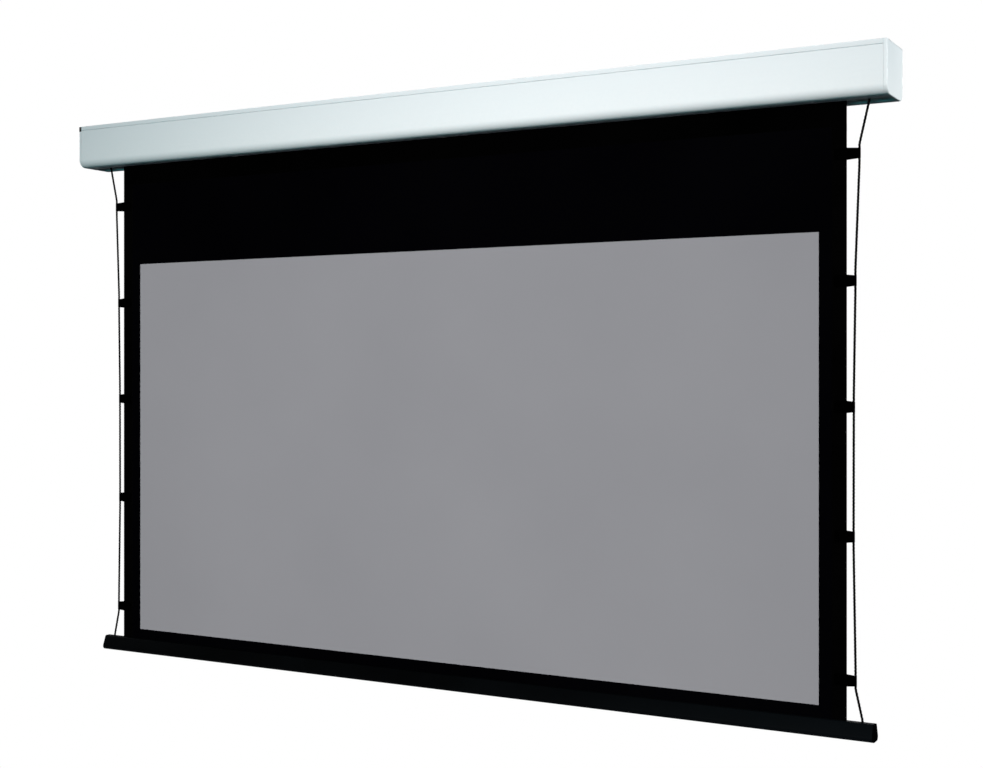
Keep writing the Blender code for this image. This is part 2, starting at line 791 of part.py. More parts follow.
def make_fabric():
    # The leader hangs off the rear of the roller; the picture sheet is welded to it at the seam
    front, back = fabric_y - FABRIC / 2, fabric_y + FABRIC / 2
    leader = box("black_leader", (-fabric_half, front, seam_z), (fabric_half, back, axis_z), parts)
    finish(leader, "black_fabric")
    sheet_top = seam_z - GAP
    sheet = box(
        "picture_sheet", (-sheet_half, front, fabric_low_z), (sheet_half, back, sheet_top), parts
    )
    finish(sheet, "grey_fabric")
    for side, word in ((-1, "left"), (1, "right")):
        low, high = sorted((side * (sheet_half + GAP), side * fabric_half))
        strip = box(f"tab_strip_{word}", (low, front, fabric_low_z), (high, back, sheet_top), parts)
        finish(strip, "strip_fabric")


def tab_heights():
    # From the first tab under the case to the last above the bar, in the spaces' proportions
    first = low_z - TAB_FIRST
    run = first - (bar_top_z + TAB_LAST)
    heights = [first]
    for space in TAB_SPACES:
        heights.append(heights[-1] - run * space / sum(TAB_SPACES))
    return heights


def loop_radius():
    return CORD_RADIUS + GAP + TAB_STRAP


def make_tab(name, side, height, reach):
    # A strap folded round the cord, its ends on both faces of the fabric's edge, tapering to its tip
    outer = loop_radius()
    loop_x = fabric_half + reach - outer
    root_x = fabric_half - TAB_PATCH
    under = FABRIC / 2 + GAP
    over = under + TAB_STRAP
    start = math.pi - math.asin(over / outer)
    fold = [(root_x, under), (root_x, over)]
    for i in range(TINY_SIDES + 1):
        angle = start - 2 * start * i / TINY_SIDES
        fold.append((loop_x + outer * math.cos(angle), outer * math.sin(angle)))
    fold += [(root_x, -over), (root_x, -under), (fabric_half + GAP, -under), (fabric_half + GAP, under)]
    hole = circle(loop_x, 0, CORD_RADIUS + GAP, TINY_SIDES)
    loops = [[(side * x, fabric_y + y) for x, y in loop] for loop in (fold, hole)]
    tab = solid_prism(name, loops, height - TAB_HEIGHT, height + TAB_HEIGHT, along_z, parts)
    wide, tip = TAB_HEIGHT / 2, TAB_TIP_HEIGHT / 2
    inner_x, edge_x, tip_x = fabric_half - 2 * TAB_PATCH, fabric_half, fabric_half + reach + outer
    face = [
        (inner_x, height - wide), (edge_x, height - wide), (tip_x, height - tip),
        (tip_x, height + tip), (edge_x, height + wide), (inner_x, height + wide),
    ]
    shape = solid_prism(
        name + "_face", [[(side * x, z) for x, z in face]], fabric_y - 4 * outer, fabric_y + 4 * outer,
        along_y, cutters,
    )
    combine(tab, shape, "INTERSECT")
    return finish(tab, "black_fabric")


def make_tabs():
    for side, word in ((-1, "left"), (1, "right")):
        for i, (height, reach) in enumerate(zip(tab_heights(), TAB_REACHES), 1):
            make_tab(f"tab_{word}_{i}", side, height, reach)


def eased(part):
    # How far across the cord is, part of the way down: upright at both ends, straight between
    bend = 2 * CORD_EASE * (1 - CORD_EASE)
    if part < CORD_EASE:
        return part**2 / bend
    if part > 1 - CORD_EASE:
        return 1 - (1 - part) ** 2 / bend
    return (part - CORD_EASE / 2) / (1 - CORD_EASE)


def cord_route(side):
    # Down from the spool, upright through each tab and into the bar
    steps = [CORD_EASE * i / CORD_EASE_STEPS for i in range(1, CORD_EASE_STEPS + 1)]
    steps += [1 - step for step in reversed(steps)]
    drum_front = wind_radius - CORD_RADIUS
    spool_exit = axis_z - math.sqrt(flange_radius**2 - drum_front**2) - CORD_RADIUS
    guides = [(spool_x, axis_z, spool_exit)]
    for height, reach in zip(tab_heights(), TAB_REACHES):
        across = fabric_half + reach - loop_radius()
        guides.append((across, height + TAB_HEIGHT / 2, height - TAB_HEIGHT / 2))
    guides.append((cord_bar_x, bar_top_z + CORD_STRAIGHT / 2, fabric_low_z))
    points = [Vector((side * spool_x, fabric_y, z)) for z in (axis_z, spool_exit)]
    for (x_high, _, z_high), (x_low, z_low, z_end) in zip(guides, guides[1:]):
        for part in steps:
            x = x_high + (x_low - x_high) * eased(part)
            points.append(Vector((side * x, fabric_y, z_high + (z_low - z_high) * part)))
        points.append(Vector((side * x_low, fabric_y, z_low)))
        points.append(Vector((side * x_low, fabric_y, z_end)))
    return points


def make_tension_cords():
    for side, word in ((-1, "left"), (1, "right")):
        finish(cord(f"tension_cord_{word}", cord_route(side), CORD_RADIUS, parts), "cord")


def make_receiver():
    # Control box on the inside of the channel, its lead to the motor and the one to the gland
    back = -(CHANNEL_DEPTH + CASE_WALL + GAP)
    start = -case_half + RECEIVER_FROM_END
    middle_z = (channel_top_z + channel_low_z) / 2
    receiver = box(
        "receiver_box",
        (start, back - RECEIVER_DEPTH, middle_z - RECEIVER_HEIGHT / 2),
        (start + RECEIVER_LENGTH, back, middle_z + RECEIVER_HEIGHT / 2),
        parts,
    )
    edges = receiver.modifiers.new("edges", "BEVEL")
    edges.width = RECEIVER_EDGE
    edges.segments = 2
    finish(receiver, "black_plastic")
    middle_y = back - RECEIVER_DEPTH / 2

    head_x = -(bracket_inner - GAP - HEAD_LENGTH / 2)
    leave = Vector((head_x, axis_y + HEAD_RADIUS + GAP, axis_z))
    arrive = Vector((start - GAP, middle_y, middle_z + LEAD_SPACING / 2))
    route = bent(
        leave, Vector((leave.x, middle_y, leave.z)),
        Vector((leave.x, arrive.y, arrive.z)).lerp(arrive, LEAD_CORNER), arrive, LEAD_STEPS,
    )
    finish(cord("motor_lead", route, LEAD_RADIUS, parts), "black_plastic")

    leave = Vector((-case_half + GLAND_NECK + GAP, -GLAND_FROM_WALL, -GLAND_DROP))
    arrive = Vector((start - GAP, middle_y, middle_z - LEAD_SPACING / 2))
    pull = Vector(((arrive.x - leave.x) / 2, 0, 0))
    route = bent(leave, leave + pull, arrive - pull, arrive, LEAD_STEPS)
    finish(cord("supply_lead", route, LEAD_RADIUS, parts), "black_plastic")


def make_gland():
    # Supply gland in the left cap, with its seal closed, and the nut that clamps it
    place = (-case_half, -GLAND_FROM_WALL, -GLAND_DROP)
    floor = GLAND_REACH - GLAND_BORE_DEPTH
    profile = [
        (0, floor),
        (GLAND_BORE_RADIUS, floor),
        (GLAND_BORE_RADIUS, GLAND_REACH),
        (GLAND_NECK_RADIUS, GLAND_REACH),
        (GLAND_DOME_RADIUS, GLAND_REACH - GLAND_DOME_SLOPE),
        (GLAND_DOME_RADIUS, GLAND_COLLAR),
        (GLAND_COLLAR_RADIUS, GLAND_COLLAR),
        (GLAND_COLLAR_RADIUS, GAP),
        (GLAND_NECK_RADIUS, GAP),
        (GLAND_NECK_RADIUS, -GLAND_NECK),
        (0, -GLAND_NECK),
    ]
    gland = turned("cable_gland", profile, False, place, turned_left, SMALL_SIDES, parts)
    finish(gland, "black_plastic")
    flats = circle(-GLAND_FROM_WALL, -GLAND_DROP, NUT_RADIUS, NUT_SIDES)
    thread = circle(-GLAND_FROM_WALL, -GLAND_DROP, GLAND_NECK_RADIUS + GAP, SMALL_SIDES)
    nut_start = -case_half + CAP_PLATE + GAP
    nut = prism("gland_nut", [flats, thread], nut_start, nut_start + NUT_THICKNESS, along_x, parts)
    finish(nut, "black_plastic")


clear_scene()
parts = new_collection("projection_screen")
cutters = new_collection("cutters")
materials = {
    "case": make_material("case_paint", (0.74, 0.80, 0.82), 0.25, 0.42),
    "steel": make_material("plated_steel", (0.55, 0.56, 0.58), 0.9, 0.4),
    "zinc": make_material("motor_zinc", (0.42, 0.43, 0.45), 0.8, 0.45),
    "aluminium": make_material("roller_aluminium", (0.72, 0.73, 0.74), 0.9, 0.35),
    "black_plastic": make_material("black_plastic", (0.02, 0.02, 0.022), 0.0, 0.5),
    "white_plastic": make_material("white_plastic", (0.85, 0.85, 0.83), 0.0, 0.45),
    "bar": make_material("bar_paint", (0.018, 0.021, 0.025), 0.2, 0.4),
    "grey_fabric": make_material("grey_fabric", (0.27, 0.27, 0.29), 0.0, 0.75),
    "black_fabric": make_material("black_fabric", (0.006, 0.006, 0.007), 0.0, 0.85),
    "strip_fabric": make_material("strip_fabric", (0.010, 0.010, 0.013), 0.0, 0.7),
    "cord": make_material("black_cord", (0.015, 0.015, 0.016), 0.0, 0.8),
}
make_rear_housing()
make_front_cover()
make_end_caps()
make_wall_brackets()
make_motor()
make_roller()
make_idler_bracket()
make_spools()
make_bottom_bar()
make_fabric()
make_tabs()
make_tension_cords()
make_receiver()
make_gland()
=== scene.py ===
import math

import bmesh
import bpy
from mathutils import Matrix, Vector


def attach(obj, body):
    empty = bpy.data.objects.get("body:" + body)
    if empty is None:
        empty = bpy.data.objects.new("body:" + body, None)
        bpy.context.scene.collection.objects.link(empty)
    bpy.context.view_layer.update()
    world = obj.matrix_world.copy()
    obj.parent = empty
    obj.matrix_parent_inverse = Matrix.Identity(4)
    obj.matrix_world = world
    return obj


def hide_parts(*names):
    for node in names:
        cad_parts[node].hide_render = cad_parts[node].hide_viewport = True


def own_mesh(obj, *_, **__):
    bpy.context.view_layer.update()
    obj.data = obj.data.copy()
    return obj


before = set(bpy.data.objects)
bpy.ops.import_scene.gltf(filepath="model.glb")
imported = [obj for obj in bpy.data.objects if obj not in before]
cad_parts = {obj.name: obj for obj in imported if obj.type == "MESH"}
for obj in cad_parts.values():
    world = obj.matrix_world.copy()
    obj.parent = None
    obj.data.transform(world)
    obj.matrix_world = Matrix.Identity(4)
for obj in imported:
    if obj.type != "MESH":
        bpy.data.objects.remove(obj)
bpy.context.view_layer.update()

scene = bpy.context.scene
print("frame loaded,", len(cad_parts), "nodes")

cameraView = {
    "place": (2.2297, -3.7270, -0.7464),
    "turn": (math.pi / 2, 0, 0.5096),
    "lens": 53.77,  # mm, as is the sensor's width
    "sensor": 36,
    "shiftUp": -0.01144,
    "farthest": 200,
}


def addCamera(settings):
    data = bpy.data.cameras.new("camera")
    data.sensor_fit = "HORIZONTAL"
    data.sensor_width = settings["sensor"]
    data.lens = settings["lens"]
    data.shift_y = settings["shiftUp"]
    data.clip_end = settings["farthest"]
    camera = bpy.data.objects.new("camera", data)
    camera.location = settings["place"]
    camera.rotation_euler = settings["turn"]
    scene.collection.objects.link(camera)
    scene.camera = camera


addCamera(cameraView)
print("camera placed")


class Wire:
    # an output socket that can stand in a sum

    def __init__(self, finish, socket):
        self.finish = finish
        self.socket = socket

    def sum(self, operation, first, second):
        return self.finish.node("ShaderNodeMath", {"operation": operation}, {0: first, 1: second})

    def __add__(self, other):
        return self.sum("ADD", self, other)

    def __sub__(self, other):
        return self.sum("SUBTRACT", self, other)

    def __rsub__(self, other):
        return self.sum("SUBTRACT", other, self)

    def __mul__(self, other):
        return self.sum("MULTIPLY", self, other)

    def __pow__(self, other):
        return self.sum("POWER", self, other)

    def __gt__(self, other):
        return self.sum("GREATER_THAN", self, other)

    def __lt__(self, other):
        return self.sum("LESS_THAN", self, other)

    __radd__ = __add__
    __rmul__ = __mul__


class Finish:
    # one material and its nodes

    def __init__(self, name, fixed):
        self.material = bpy.data.materials.new(name)
        self.material.use_nodes = True
        self.tree = self.material.node_tree
        self.tree.nodes.clear()
        self.output = self.tree.nodes.new("ShaderNodeOutputMaterial")
        self.shader = self.tree.nodes.new("ShaderNodeBsdfPrincipled")
        self.tree.links.new(self.shader.outputs[0], self.output.inputs[0])
        for socket, value in fixed.items():
            self.shader.inputs[socket].default_value = value

    def feed(self, socket, value):
        if isinstance(value, Wire):
            self.tree.links.new(value.socket, socket)
        elif isinstance(value, tuple) and len(value) == 3 and socket.type == "RGBA":
            socket.default_value = (*value, 1)
        else:
            socket.default_value = value

    def node(self, kind, settings=None, sockets=None, out=0):
        made = self.tree.nodes.new(kind)
        for key, value in (settings or {}).items():
            setattr(made, key, value)
        for key, value in (sockets or {}).items():
            self.feed(made.inputs[key], value)
        return Wire(self, made.outputs[out])

    def place(self, stretch=(1, 1, 1)):
        # metres on the piece itself, stretched for grain that runs one way
        spot = self.node("ShaderNodeTexCoord", out="Object")
        return self.node("ShaderNodeMapping", sockets={"Vector": spot, "Scale": stretch})

    def sheetPlace(self, stretch=(1, 1, 1)):
        # metres across and up on the flat cloth, which the pattern keeps when it moves
        spot = self.node("ShaderNodeUVMap", {"uv_map": "flat"})
        return self.node("ShaderNodeMapping", sockets={"Vector": spot, "Scale": stretch})

    def noise(self, place, scale, detail, rough):
        return self.node("ShaderNodeTexNoise", sockets={
            "Vector": place, "Scale": scale, "Detail": detail, "Roughness": rough,
        })

    def spread(self, value, low, high):
        # 0 at low and 1 at high, held there beyond them
        return self.node("ShaderNodeMapRange", sockets={"Value": value, 1: low, 2: high})

    def parts(self, vector):
        split = self.tree.nodes.new("ShaderNodeSeparateXYZ")
        self.feed(split.inputs[0], vector)
        return [Wire(self, split.outputs[i]) for i in range(3)]

    def mix(self, factor, first, second):
        return self.node("ShaderNodeMix", {"data_type": "RGBA"}, {0: factor, 6: first, 7: second}, out=2)

    def wave(self, value, length):
        # 0 to 1 and back over each length
        turn = value * (2 * math.pi / length)
        return self.node("ShaderNodeMath", {"operation": "SINE"}, {0: turn}) * 0.5 + 0.5

    def bump(self, height, depth, strength):
        return self.node("ShaderNodeBump", sockets={
            "Strength": strength, "Distance": depth, "Height": height,
        })

    def set(self, **values):
        names = {"colour": "Base Color", "roughness": "Roughness", "normal": "Normal"}
        for key, value in values.items():
            self.feed(self.shader.inputs[names[key]], value)
        return self.material


casePaint = {
    "pale": (0.905, 0.935, 0.940),
    "tired": (0.845, 0.885, 0.895),
    # painted shade: the darker colour that the paint is mixed towards at the top of the case
    "shadedTop": (0.800, 0.845, 0.860),
    "topShadeSpan": (-0.04, 0.067),  # heights where the painted shade at the top begins and where it is full
    "grainSize": 900,
    "roughness": (0.36, 0.46),
}
# metres from the lowest to the highest point of each surface's grain
grainDepth = {"case": 0.00003, "bar": 0.00005, "plastic": 0.00004, "metal": 0.00003, "weld": 0.00012,
              "cord": 0.0002}


def makeCasePaint(settings):
    finish = Finish("casePaint", {"Specular IOR Level": 0.0004})
    where = finish.place()
    clouds = finish.noise(where, scale=2.2, detail=4, rough=0.55)
    # faint lines along the extrusion
    drawn = finish.noise(finish.place((0.6, 30, 30)), scale=6, detail=3, rough=0.6)
    grain = finish.noise(where, scale=settings["grainSize"], detail=2, rough=0.5)
    scuffs = finish.spread(finish.noise(finish.place((8, 60, 60)), scale=5, detail=6, rough=0.7), 0.66, 0.78)
    tone = finish.spread(clouds * 0.6 + drawn * 0.4, 0.35, 0.65)
    _, _, up = finish.parts(where)
    # painted shade: the paint is mixed darker towards the top of the case
    topShade = finish.spread(up, *settings["topShadeSpan"])
    mottle = finish.spread(finish.noise(where, scale=130, detail=2, rough=0.6), 0.35, 0.65)
    colour = finish.mix(tone * 0.25 + mottle * 0.25, settings["pale"], settings["tired"])
    colour = finish.mix(topShade, colour, settings["shadedTop"])
    colour = finish.mix(scuffs * 0.12, colour, settings["tired"])
    low, high = settings["roughness"]
    roughness = low + (high - low) * finish.spread(clouds * 0.5 + grain * 0.5, 0.3, 0.7) + scuffs * 0.08
    height = grain * 0.7 + drawn * 0.3
    return finish.set(
        colour=colour, roughness=roughness, normal=finish.bump(height, grainDepth["case"], strength=0.5),
    )


barPaint = {
    "black": (0.0002, 0.0003, 0.0004),
    "lit": (0.0025, 0.0036, 0.0044),
    "worn": (0.010, 0.012, 0.014),
    "paintedLightSpan": (-0.6, 1.28),  # across: painted light, the bar mixed brighter towards its right end
}


def makeBarPaint(settings):
    finish = Finish("barPaint", {"Specular IOR Level": 0.006})
    where = finish.place()
    clouds = finish.noise(where, scale=3, detail=4, rough=0.6)
    pebbles = finish.noise(where, scale=1400, detail=2, rough=0.5)
    drawn = finish.noise(finish.place((0.8, 40, 40)), scale=5, detail=3, rough=0.6)
    rubbed = finish.spread(finish.noise(finish.place((12, 90, 90)), scale=5, detail=6, rough=0.7), 0.68, 0.80)
    across, _, _ = finish.parts(where)
    # painted light: the colour runs from black to lit towards the right end, with random clouds as well
    paintedLight = finish.spread(across, *settings["paintedLightSpan"]) ** 2
    tone = finish.spread(clouds, 0.35, 0.65) * 0.3 + paintedLight * 0.7
    colour = finish.mix(tone, settings["black"], settings["lit"])
    colour = finish.mix(rubbed * 0.15, colour, settings["worn"])
    roughness = 0.40 + pebbles * 0.16 + drawn * 0.06 - rubbed * 0.08
    height = pebbles * 0.8 + drawn * 0.2
    return finish.set(
        colour=colour, roughness=roughness, normal=finish.bump(height, grainDepth["bar"], strength=0.6),
    )


def makePlastic(name, dark, light, roughness, level=0.4):
    finish = Finish(name, {"Specular IOR Level": level})
    where = finish.place()
    clouds = finish.noise(where, scale=40, detail=3, rough=0.5)
    grain = finish.noise(where, scale=2200, detail=2, rough=0.5)
    marks = finish.spread(finish.noise(where, scale=300, detail=6, rough=0.7), 0.62, 0.75)
    colour = finish.mix(finish.spread(clouds, 0.3, 0.7), dark, light)
    return finish.set(
        colour=finish.mix(marks * 0.15, colour, light), roughness=roughness + grain * 0.15 - marks * 0.06,
        normal=finish.bump(grain, grainDepth["plastic"], strength=0.5),
    )


def makePlated(name, bright, dull, roughness):
    # rolled and plated metal, with spangle, drawing lines and rubbed patches
    finish = Finish(name, {"Metallic": 1.0})
    where = finish.place()
    spangle = finish.node("ShaderNodeTexVoronoi", sockets={"Vector": where, "Scale": 220}, out="Distance")
    clouds = finish.noise(where, scale=25, detail=4, rough=0.6)
    drawn = finish.noise(finish.place((3, 160, 160)), scale=8, detail=3, rough=0.6)
    tone = finish.spread(spangle * 0.4 + clouds * 0.4 + drawn * 0.2, 0.25, 0.6)
    return finish.set(
        colour=finish.mix(tone, dull, bright), roughness=roughness + drawn * 0.14 + clouds * 0.08,
        normal=finish.bump(drawn * 0.6 + spangle * 0.4, grainDepth["metal"], strength=0.5),
    )


clothWeave = {"threads": 0.0009, "depth": 0.00005}
weldPitch = 0.003


def weaveHeight(finish, pitch):
    # plain weave: threads across and threads up pass over each other in turn
    across, up, _ = finish.parts(finish.sheetPlace())
    alongUp = finish.wave(across, pitch * 2)
    alongAcross = finish.wave(up, pitch * 2)
    crossing = finish.wave(across + up, pitch * 2) * 0.5 + finish.wave(across - up, pitch * 2) * 0.5
    return alongUp * crossing + alongAcross * (1 - crossing)


def makeCloth(name, dark, light, roughness, level):
    finish = Finish(name, {"Specular IOR Level": level})
    flat = finish.sheetPlace()
    clouds = finish.noise(flat, scale=2.5, detail=4, rough=0.55)
    fibre = finish.noise(flat, scale=1300, detail=3, rough=0.6)
    weave = weaveHeight(finish, clothWeave["threads"])
    tone = finish.spread(clouds * 0.6 + fibre * 0.4, 0.35, 0.65)
    return finish.set(
        colour=finish.mix(tone, dark, light), roughness=roughness + fibre * 0.1 - weave * 0.05,
        normal=finish.bump(weave * 0.7 + fibre * 0.3, clothWeave["depth"], strength=0.5),
    )


pictureArea = {
    "half": 1.1375,
    "top": -0.38925,
    "low": -1.58925,
    "grey": (0.262, 0.266, 0.283),
    "greyLight": (0.280, 0.284, 0.301),
    "border": (0.0004, 0.0004, 0.0007),
    "borderLight": (0.0009, 0.0009, 0.0014),
    "ragged": 0.0008,  # how far the print strays from a straight edge
}


def makePictureFace(settings):
    # matt grey viewing surface, with the black border printed round it
    finish = Finish("pictureFace", {"Specular IOR Level": 0.0})
    flat = finish.sheetPlace()
    across, up, _ = finish.parts(flat)
    clouds = finish.noise(flat, scale=1.6, detail=4, rough=0.5)
    fibre = finish.noise(flat, scale=1100, detail=3, rough=0.6)
    ragged = (finish.noise(flat, scale=700, detail=2, rough=0.5) - 0.5) * settings["ragged"]
    inside = (
        (across + ragged > -settings["half"]) * (across + ragged < settings["half"])
        * (up + ragged > settings["low"]) * (up + ragged < settings["top"])
    )
    weave = weaveHeight(finish, clothWeave["threads"])
    tone = finish.spread(clouds * 0.7 + fibre * 0.3, 0.35, 0.65)
    grey = finish.mix(tone, settings["grey"], settings["greyLight"])
    black = finish.mix(tone, settings["border"], settings["borderLight"])
    return finish.set(
        colour=finish.mix(inside, black, grey), roughness=0.74 + fibre * 0.12 + inside * 0.06,
        normal=finish.bump(weave * 0.6 + fibre * 0.4, clothWeave["depth"] * 0.7, strength=0.4),
    )


def makeWelded(name, dark, light):
    # vinyl strip with the small diamonds that the welding bar leaves
    finish = Finish(name, {"Specular IOR Level": 0.0})
    flat = finish.sheetPlace()
    across, up, _ = finish.parts(flat)
    diamonds = finish.wave(across + up, weldPitch) * finish.wave(across - up, weldPitch)
    fibre = finish.noise(flat, scale=1500, detail=3, rough=0.6)
    clouds = finish.noise(flat, scale=8, detail=4, rough=0.6)
    tone = finish.spread(clouds * 0.6 + fibre * 0.4, 0.35, 0.65)
    return finish.set(
        colour=finish.mix(tone, dark, light), roughness=0.50 + fibre * 0.12 + diamonds * 0.12,
        normal=finish.bump(diamonds * 0.7 + fibre * 0.3, grainDepth["weld"], strength=0.6),
    )


def makeCordFinish(dark, light):
    # braided black fibre, with its grain along the cord
    finish = Finish("cordFibre", {"Specular IOR Level": 0.0})
    flat = finish.sheetPlace()
    fibre = finish.noise(finish.sheetPlace((900, 160, 1)), scale=1, detail=3, rough=0.6)
    clouds = finish.noise(flat, scale=30, detail=4, rough=0.6)
    tone = finish.spread(fibre * 0.6 + clouds * 0.4, 0.3, 0.7)
    return finish.set(
        colour=finish.mix(tone, dark, light), roughness=0.55 + fibre * 0.2,
        normal=finish.bump(fibre, grainDepth["cord"], strength=0.6),
    )


paint = makeCasePaint(casePaint)
barBlack = makeBarPaint(barPaint)
blackPlastic = makePlastic("blackPlastic", (0.008, 0.008, 0.009), (0.020, 0.020, 0.022), roughness=0.38)
capPlastic = makePlastic("barCapPlastic", (0.0004, 0.0005, 0.0006), (0.0016, 0.0018, 0.0020),
                         roughness=0.50, level=0.0)
whitePlastic = makePlastic("whitePlastic", (0.74, 0.74, 0.70), (0.82, 0.82, 0.79), roughness=0.40)
eyePlastic = makePlastic("smokedWindow", (0.002, 0.002, 0.002), (0.004, 0.003, 0.004),
                         roughness=0.12, level=0.12)
plated = makePlated("platedSteel", (0.44, 0.45, 0.47), (0.30, 0.31, 0.33), roughness=0.30)
zinc = makePlated("motorZinc", (0.50, 0.51, 0.53), (0.30, 0.31, 0.33), roughness=0.34)
aluminium = makePlated("rollerAluminium", (0.76, 0.77, 0.78), (0.60, 0.61, 0.62), roughness=0.28)
leadJacket = makePlastic("leadJacket", (0.010, 0.010, 0.011), (0.024, 0.024, 0.025),
                         roughness=0.50, level=0.3)
blackCloth = makeCloth("blackCloth", (0.0002, 0.0002, 0.0002), (0.0007, 0.0007, 0.0007),
                       roughness=0.80, level=0.0)
backCloth = makeCloth("backCloth", (0.0060, 0.0060, 0.0065), (0.0110, 0.0110, 0.0118),
                      roughness=0.80, level=0.02)
pictureFace = makePictureFace(pictureArea)
stripVinyl = makeWelded("stripVinyl", (0.0004, 0.0004, 0.0004), (0.0010, 0.0010, 0.0010))
tabVinyl = makeWelded("tabVinyl", (0.0001, 0.0001, 0.0001), (0.0005, 0.0005, 0.0005))
cordFibre = makeCordFinish((0.0012, 0.0012, 0.0014), (0.0060, 0.0060, 0.0064))
print("materials made")


mergeDistance = 0.000005
inPlane = 0.0001  # how near a point is to the plane that it lies in
sides = ((-1, "Left"), (1, "Right"))


def meshOf(name, shape):
    bmesh.ops.remove_doubles(shape, verts=shape.verts, dist=mergeDistance)
    bmesh.ops.recalc_face_normals(shape, faces=shape.faces)
    mesh = bpy.data.meshes.new(name)
    shape.to_mesh(mesh)
    shape.free()
    return mesh


def newPiece(name, shape, materials):
    return meshPiece(name, meshOf(name, shape), materials)


def meshPiece(name, mesh, materials, sharpAngle=35):
    for material in materials:
        mesh.materials.append(material)
    mesh.shade_smooth()
    mesh.set_sharp_from_angle(angle=math.radians(sharpAngle))
    piece = bpy.data.objects.new(name, mesh)
    scene.collection.objects.link(piece)
    return piece


def standIn(piece, body, slot, *nodes):
    # the piece moves with the body, and shows in place of the plain nodes
    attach(piece, body)
    if nodes:
        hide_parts(*nodes)
    return piece


def movedVerts(made):
    return [thing for thing in made if isinstance(thing, bmesh.types.BMVert)]


cornerArc = {"step": 0.0012, "fewest": 3, "most": 16}  # how finely a round corner is drawn


def outline(shape, corners, x):
    # a flat face across the screen, from (across, up, radius) corners, each one rounded
    points = [shape.verts.new((x, across, up)) for across, up, _ in corners]
    shape.faces.new(points)
    reaches = {}
    for i, (across, up, radius) in enumerate(corners):
        if radius:
            here = Vector((across, up))
            before = Vector(corners[i - 1][:2]) - here
            after = Vector(corners[(i + 1) % len(corners)][:2]) - here
            reach = round(radius / math.tan(before.angle(after) / 2), 7)
            reaches.setdefault((reach, radius), []).append(points[i])
    for (reach, radius), places in reaches.items():
        steps = max(cornerArc["fewest"], min(cornerArc["most"], round(radius / cornerArc["step"])))
        bmesh.ops.bevel(
            shape, geom=places, offset=reach, offset_type="OFFSET", affect="VERTICES",
            segments=steps, profile=0.5, material=-1, clamp_overlap=False,
        )
    return shape.faces[:]


def lengthen(shape, faces, reach):
    made = bmesh.ops.extrude_face_region(shape, geom=faces)["geom"]
    bmesh.ops.translate(shape, vec=(reach, 0, 0), verts=movedVerts(made))
    return [thing for thing in made if isinstance(thing, bmesh.types.BMFace)]


case = {
    "halfLength": 1.3315,
    "extrusionHalf": 1.3212,
    "front": -0.15105,
    "top": 0.06725,
    "low": -0.06725,
    "wall": 0.002,
    "coverRadius": 0.025,
    "rearRadius": 0.022,
    "corner": 0.002,
    "gap": 0.0003,
    "lipEdge": 0.0004,
    "innerEdge": 0.0006,
    "jointEdge": 0.0008,
    "topEdge": 0.013,  # height of the strip above the joint line
    "reveal": 0.0007,
    "tongue": 0.008,
    "slotHalf": 0.026,
    "slotLip": 0.006,
    "channelTop": 0.05525,
    "channelHeight": 0.034,
    "channelDepth": 0.0075,
    "channelLip": 0.0018,
    "channelLipHeight": 0.007,
    "capLength": 0.010,
    "capPlate": 0.003,
    "capSkirt": 0.0025,
    "capEdge": 0.0030,
    "capEdgeSteps": 5,
}
sheetPlane = -0.0712  # y of the middle of the fabric
rollerAxis = (-0.10555, 0.01975)  # y and z


def makeCover(settings):
    front, low, wall, edge = (settings[key] for key in ("front", "low", "wall", "lipEdge"))
    inner = settings["innerEdge"]
    jointZ = settings["top"] - settings["topEdge"] - settings["reveal"]
    slotFront = sheetPlane - settings["slotHalf"]
    shape = bmesh.new()
    faces = outline(shape, [
        (front, jointZ, settings["jointEdge"]),
        (front, low, settings["coverRadius"]),
        (slotFront, low, edge),
        (slotFront, low + settings["slotLip"], edge),
        (slotFront - wall, low + settings["slotLip"], edge),
        (slotFront - wall, low + wall, inner),
        (front + wall, low + wall, settings["coverRadius"] - wall),
        (front + wall, jointZ, edge),
    ], -settings["extrusionHalf"])
    lengthen(shape, faces, 2 * settings["extrusionHalf"])
    return standIn(newPiece("coverPanel", shape, [paint]), "housing", "case_paint", "front_cover")


def makeRearShell(settings):
    front, top, low, wall, edge = (settings[key] for key in ("front", "top", "low", "wall", "lipEdge"))
    slotRear = sheetPlane + settings["slotHalf"]
    channelTop, channelLow = settings["channelTop"], settings["channelTop"] - settings["channelHeight"]
    lipLow = channelTop - settings["channelLipHeight"]
    depth, lip = settings["channelDepth"], settings["channelLip"]
    tongueFront = front + wall + settings["gap"]
    tongueBack = front + 2 * wall + settings["gap"]
    jointTop = top - settings["topEdge"]
    tongueLow = jointTop - settings["tongue"]
    shape = bmesh.new()
    faces = outline(shape, [
        (front, jointTop, settings["innerEdge"]),
        (front, top, settings["corner"]),
        (0, top, settings["corner"]),
        (0, lipLow, edge),
        (-lip, lipLow, edge),
        (-lip, channelTop, edge),
        (-depth, channelTop, edge),
        (-depth, channelLow, edge),
        (0, channelLow, edge),
        (0, low, settings["rearRadius"]),
        (slotRear, low, edge),
        (slotRear, low + settings["slotLip"], edge),
        (slotRear + wall, low + settings["slotLip"], edge),
        (slotRear + wall, low + wall, settings["innerEdge"]),
        (-wall, low + wall, settings["rearRadius"] - wall),
        (-wall, channelLow - wall, edge),
        (-depth - wall, channelLow - wall, edge),
        (-depth - wall, channelTop + wall, edge),
        (-wall, channelTop + wall, edge),
        (-wall, top - wall, edge),
        (tongueBack, top - wall, edge),
        (tongueBack, tongueLow, edge),
        (tongueFront, tongueLow, edge),
        (tongueFront, jointTop, edge),
    ], -settings["extrusionHalf"])
    lengthen(shape, faces, 2 * settings["extrusionHalf"])
    return standIn(newPiece("rearShell", shape, [paint]), "housing", "case_paint", "rear_housing")


capInside = {
    "bossRadius": 0.0045,
    "bossSides": 28,
    "bossSpacing": 0.048,
    "bossReach": 0.012,
    "tongueWidth": 0.030,
    "tongueThickness": 0.0015,
    "tongueReach": 0.010,
}


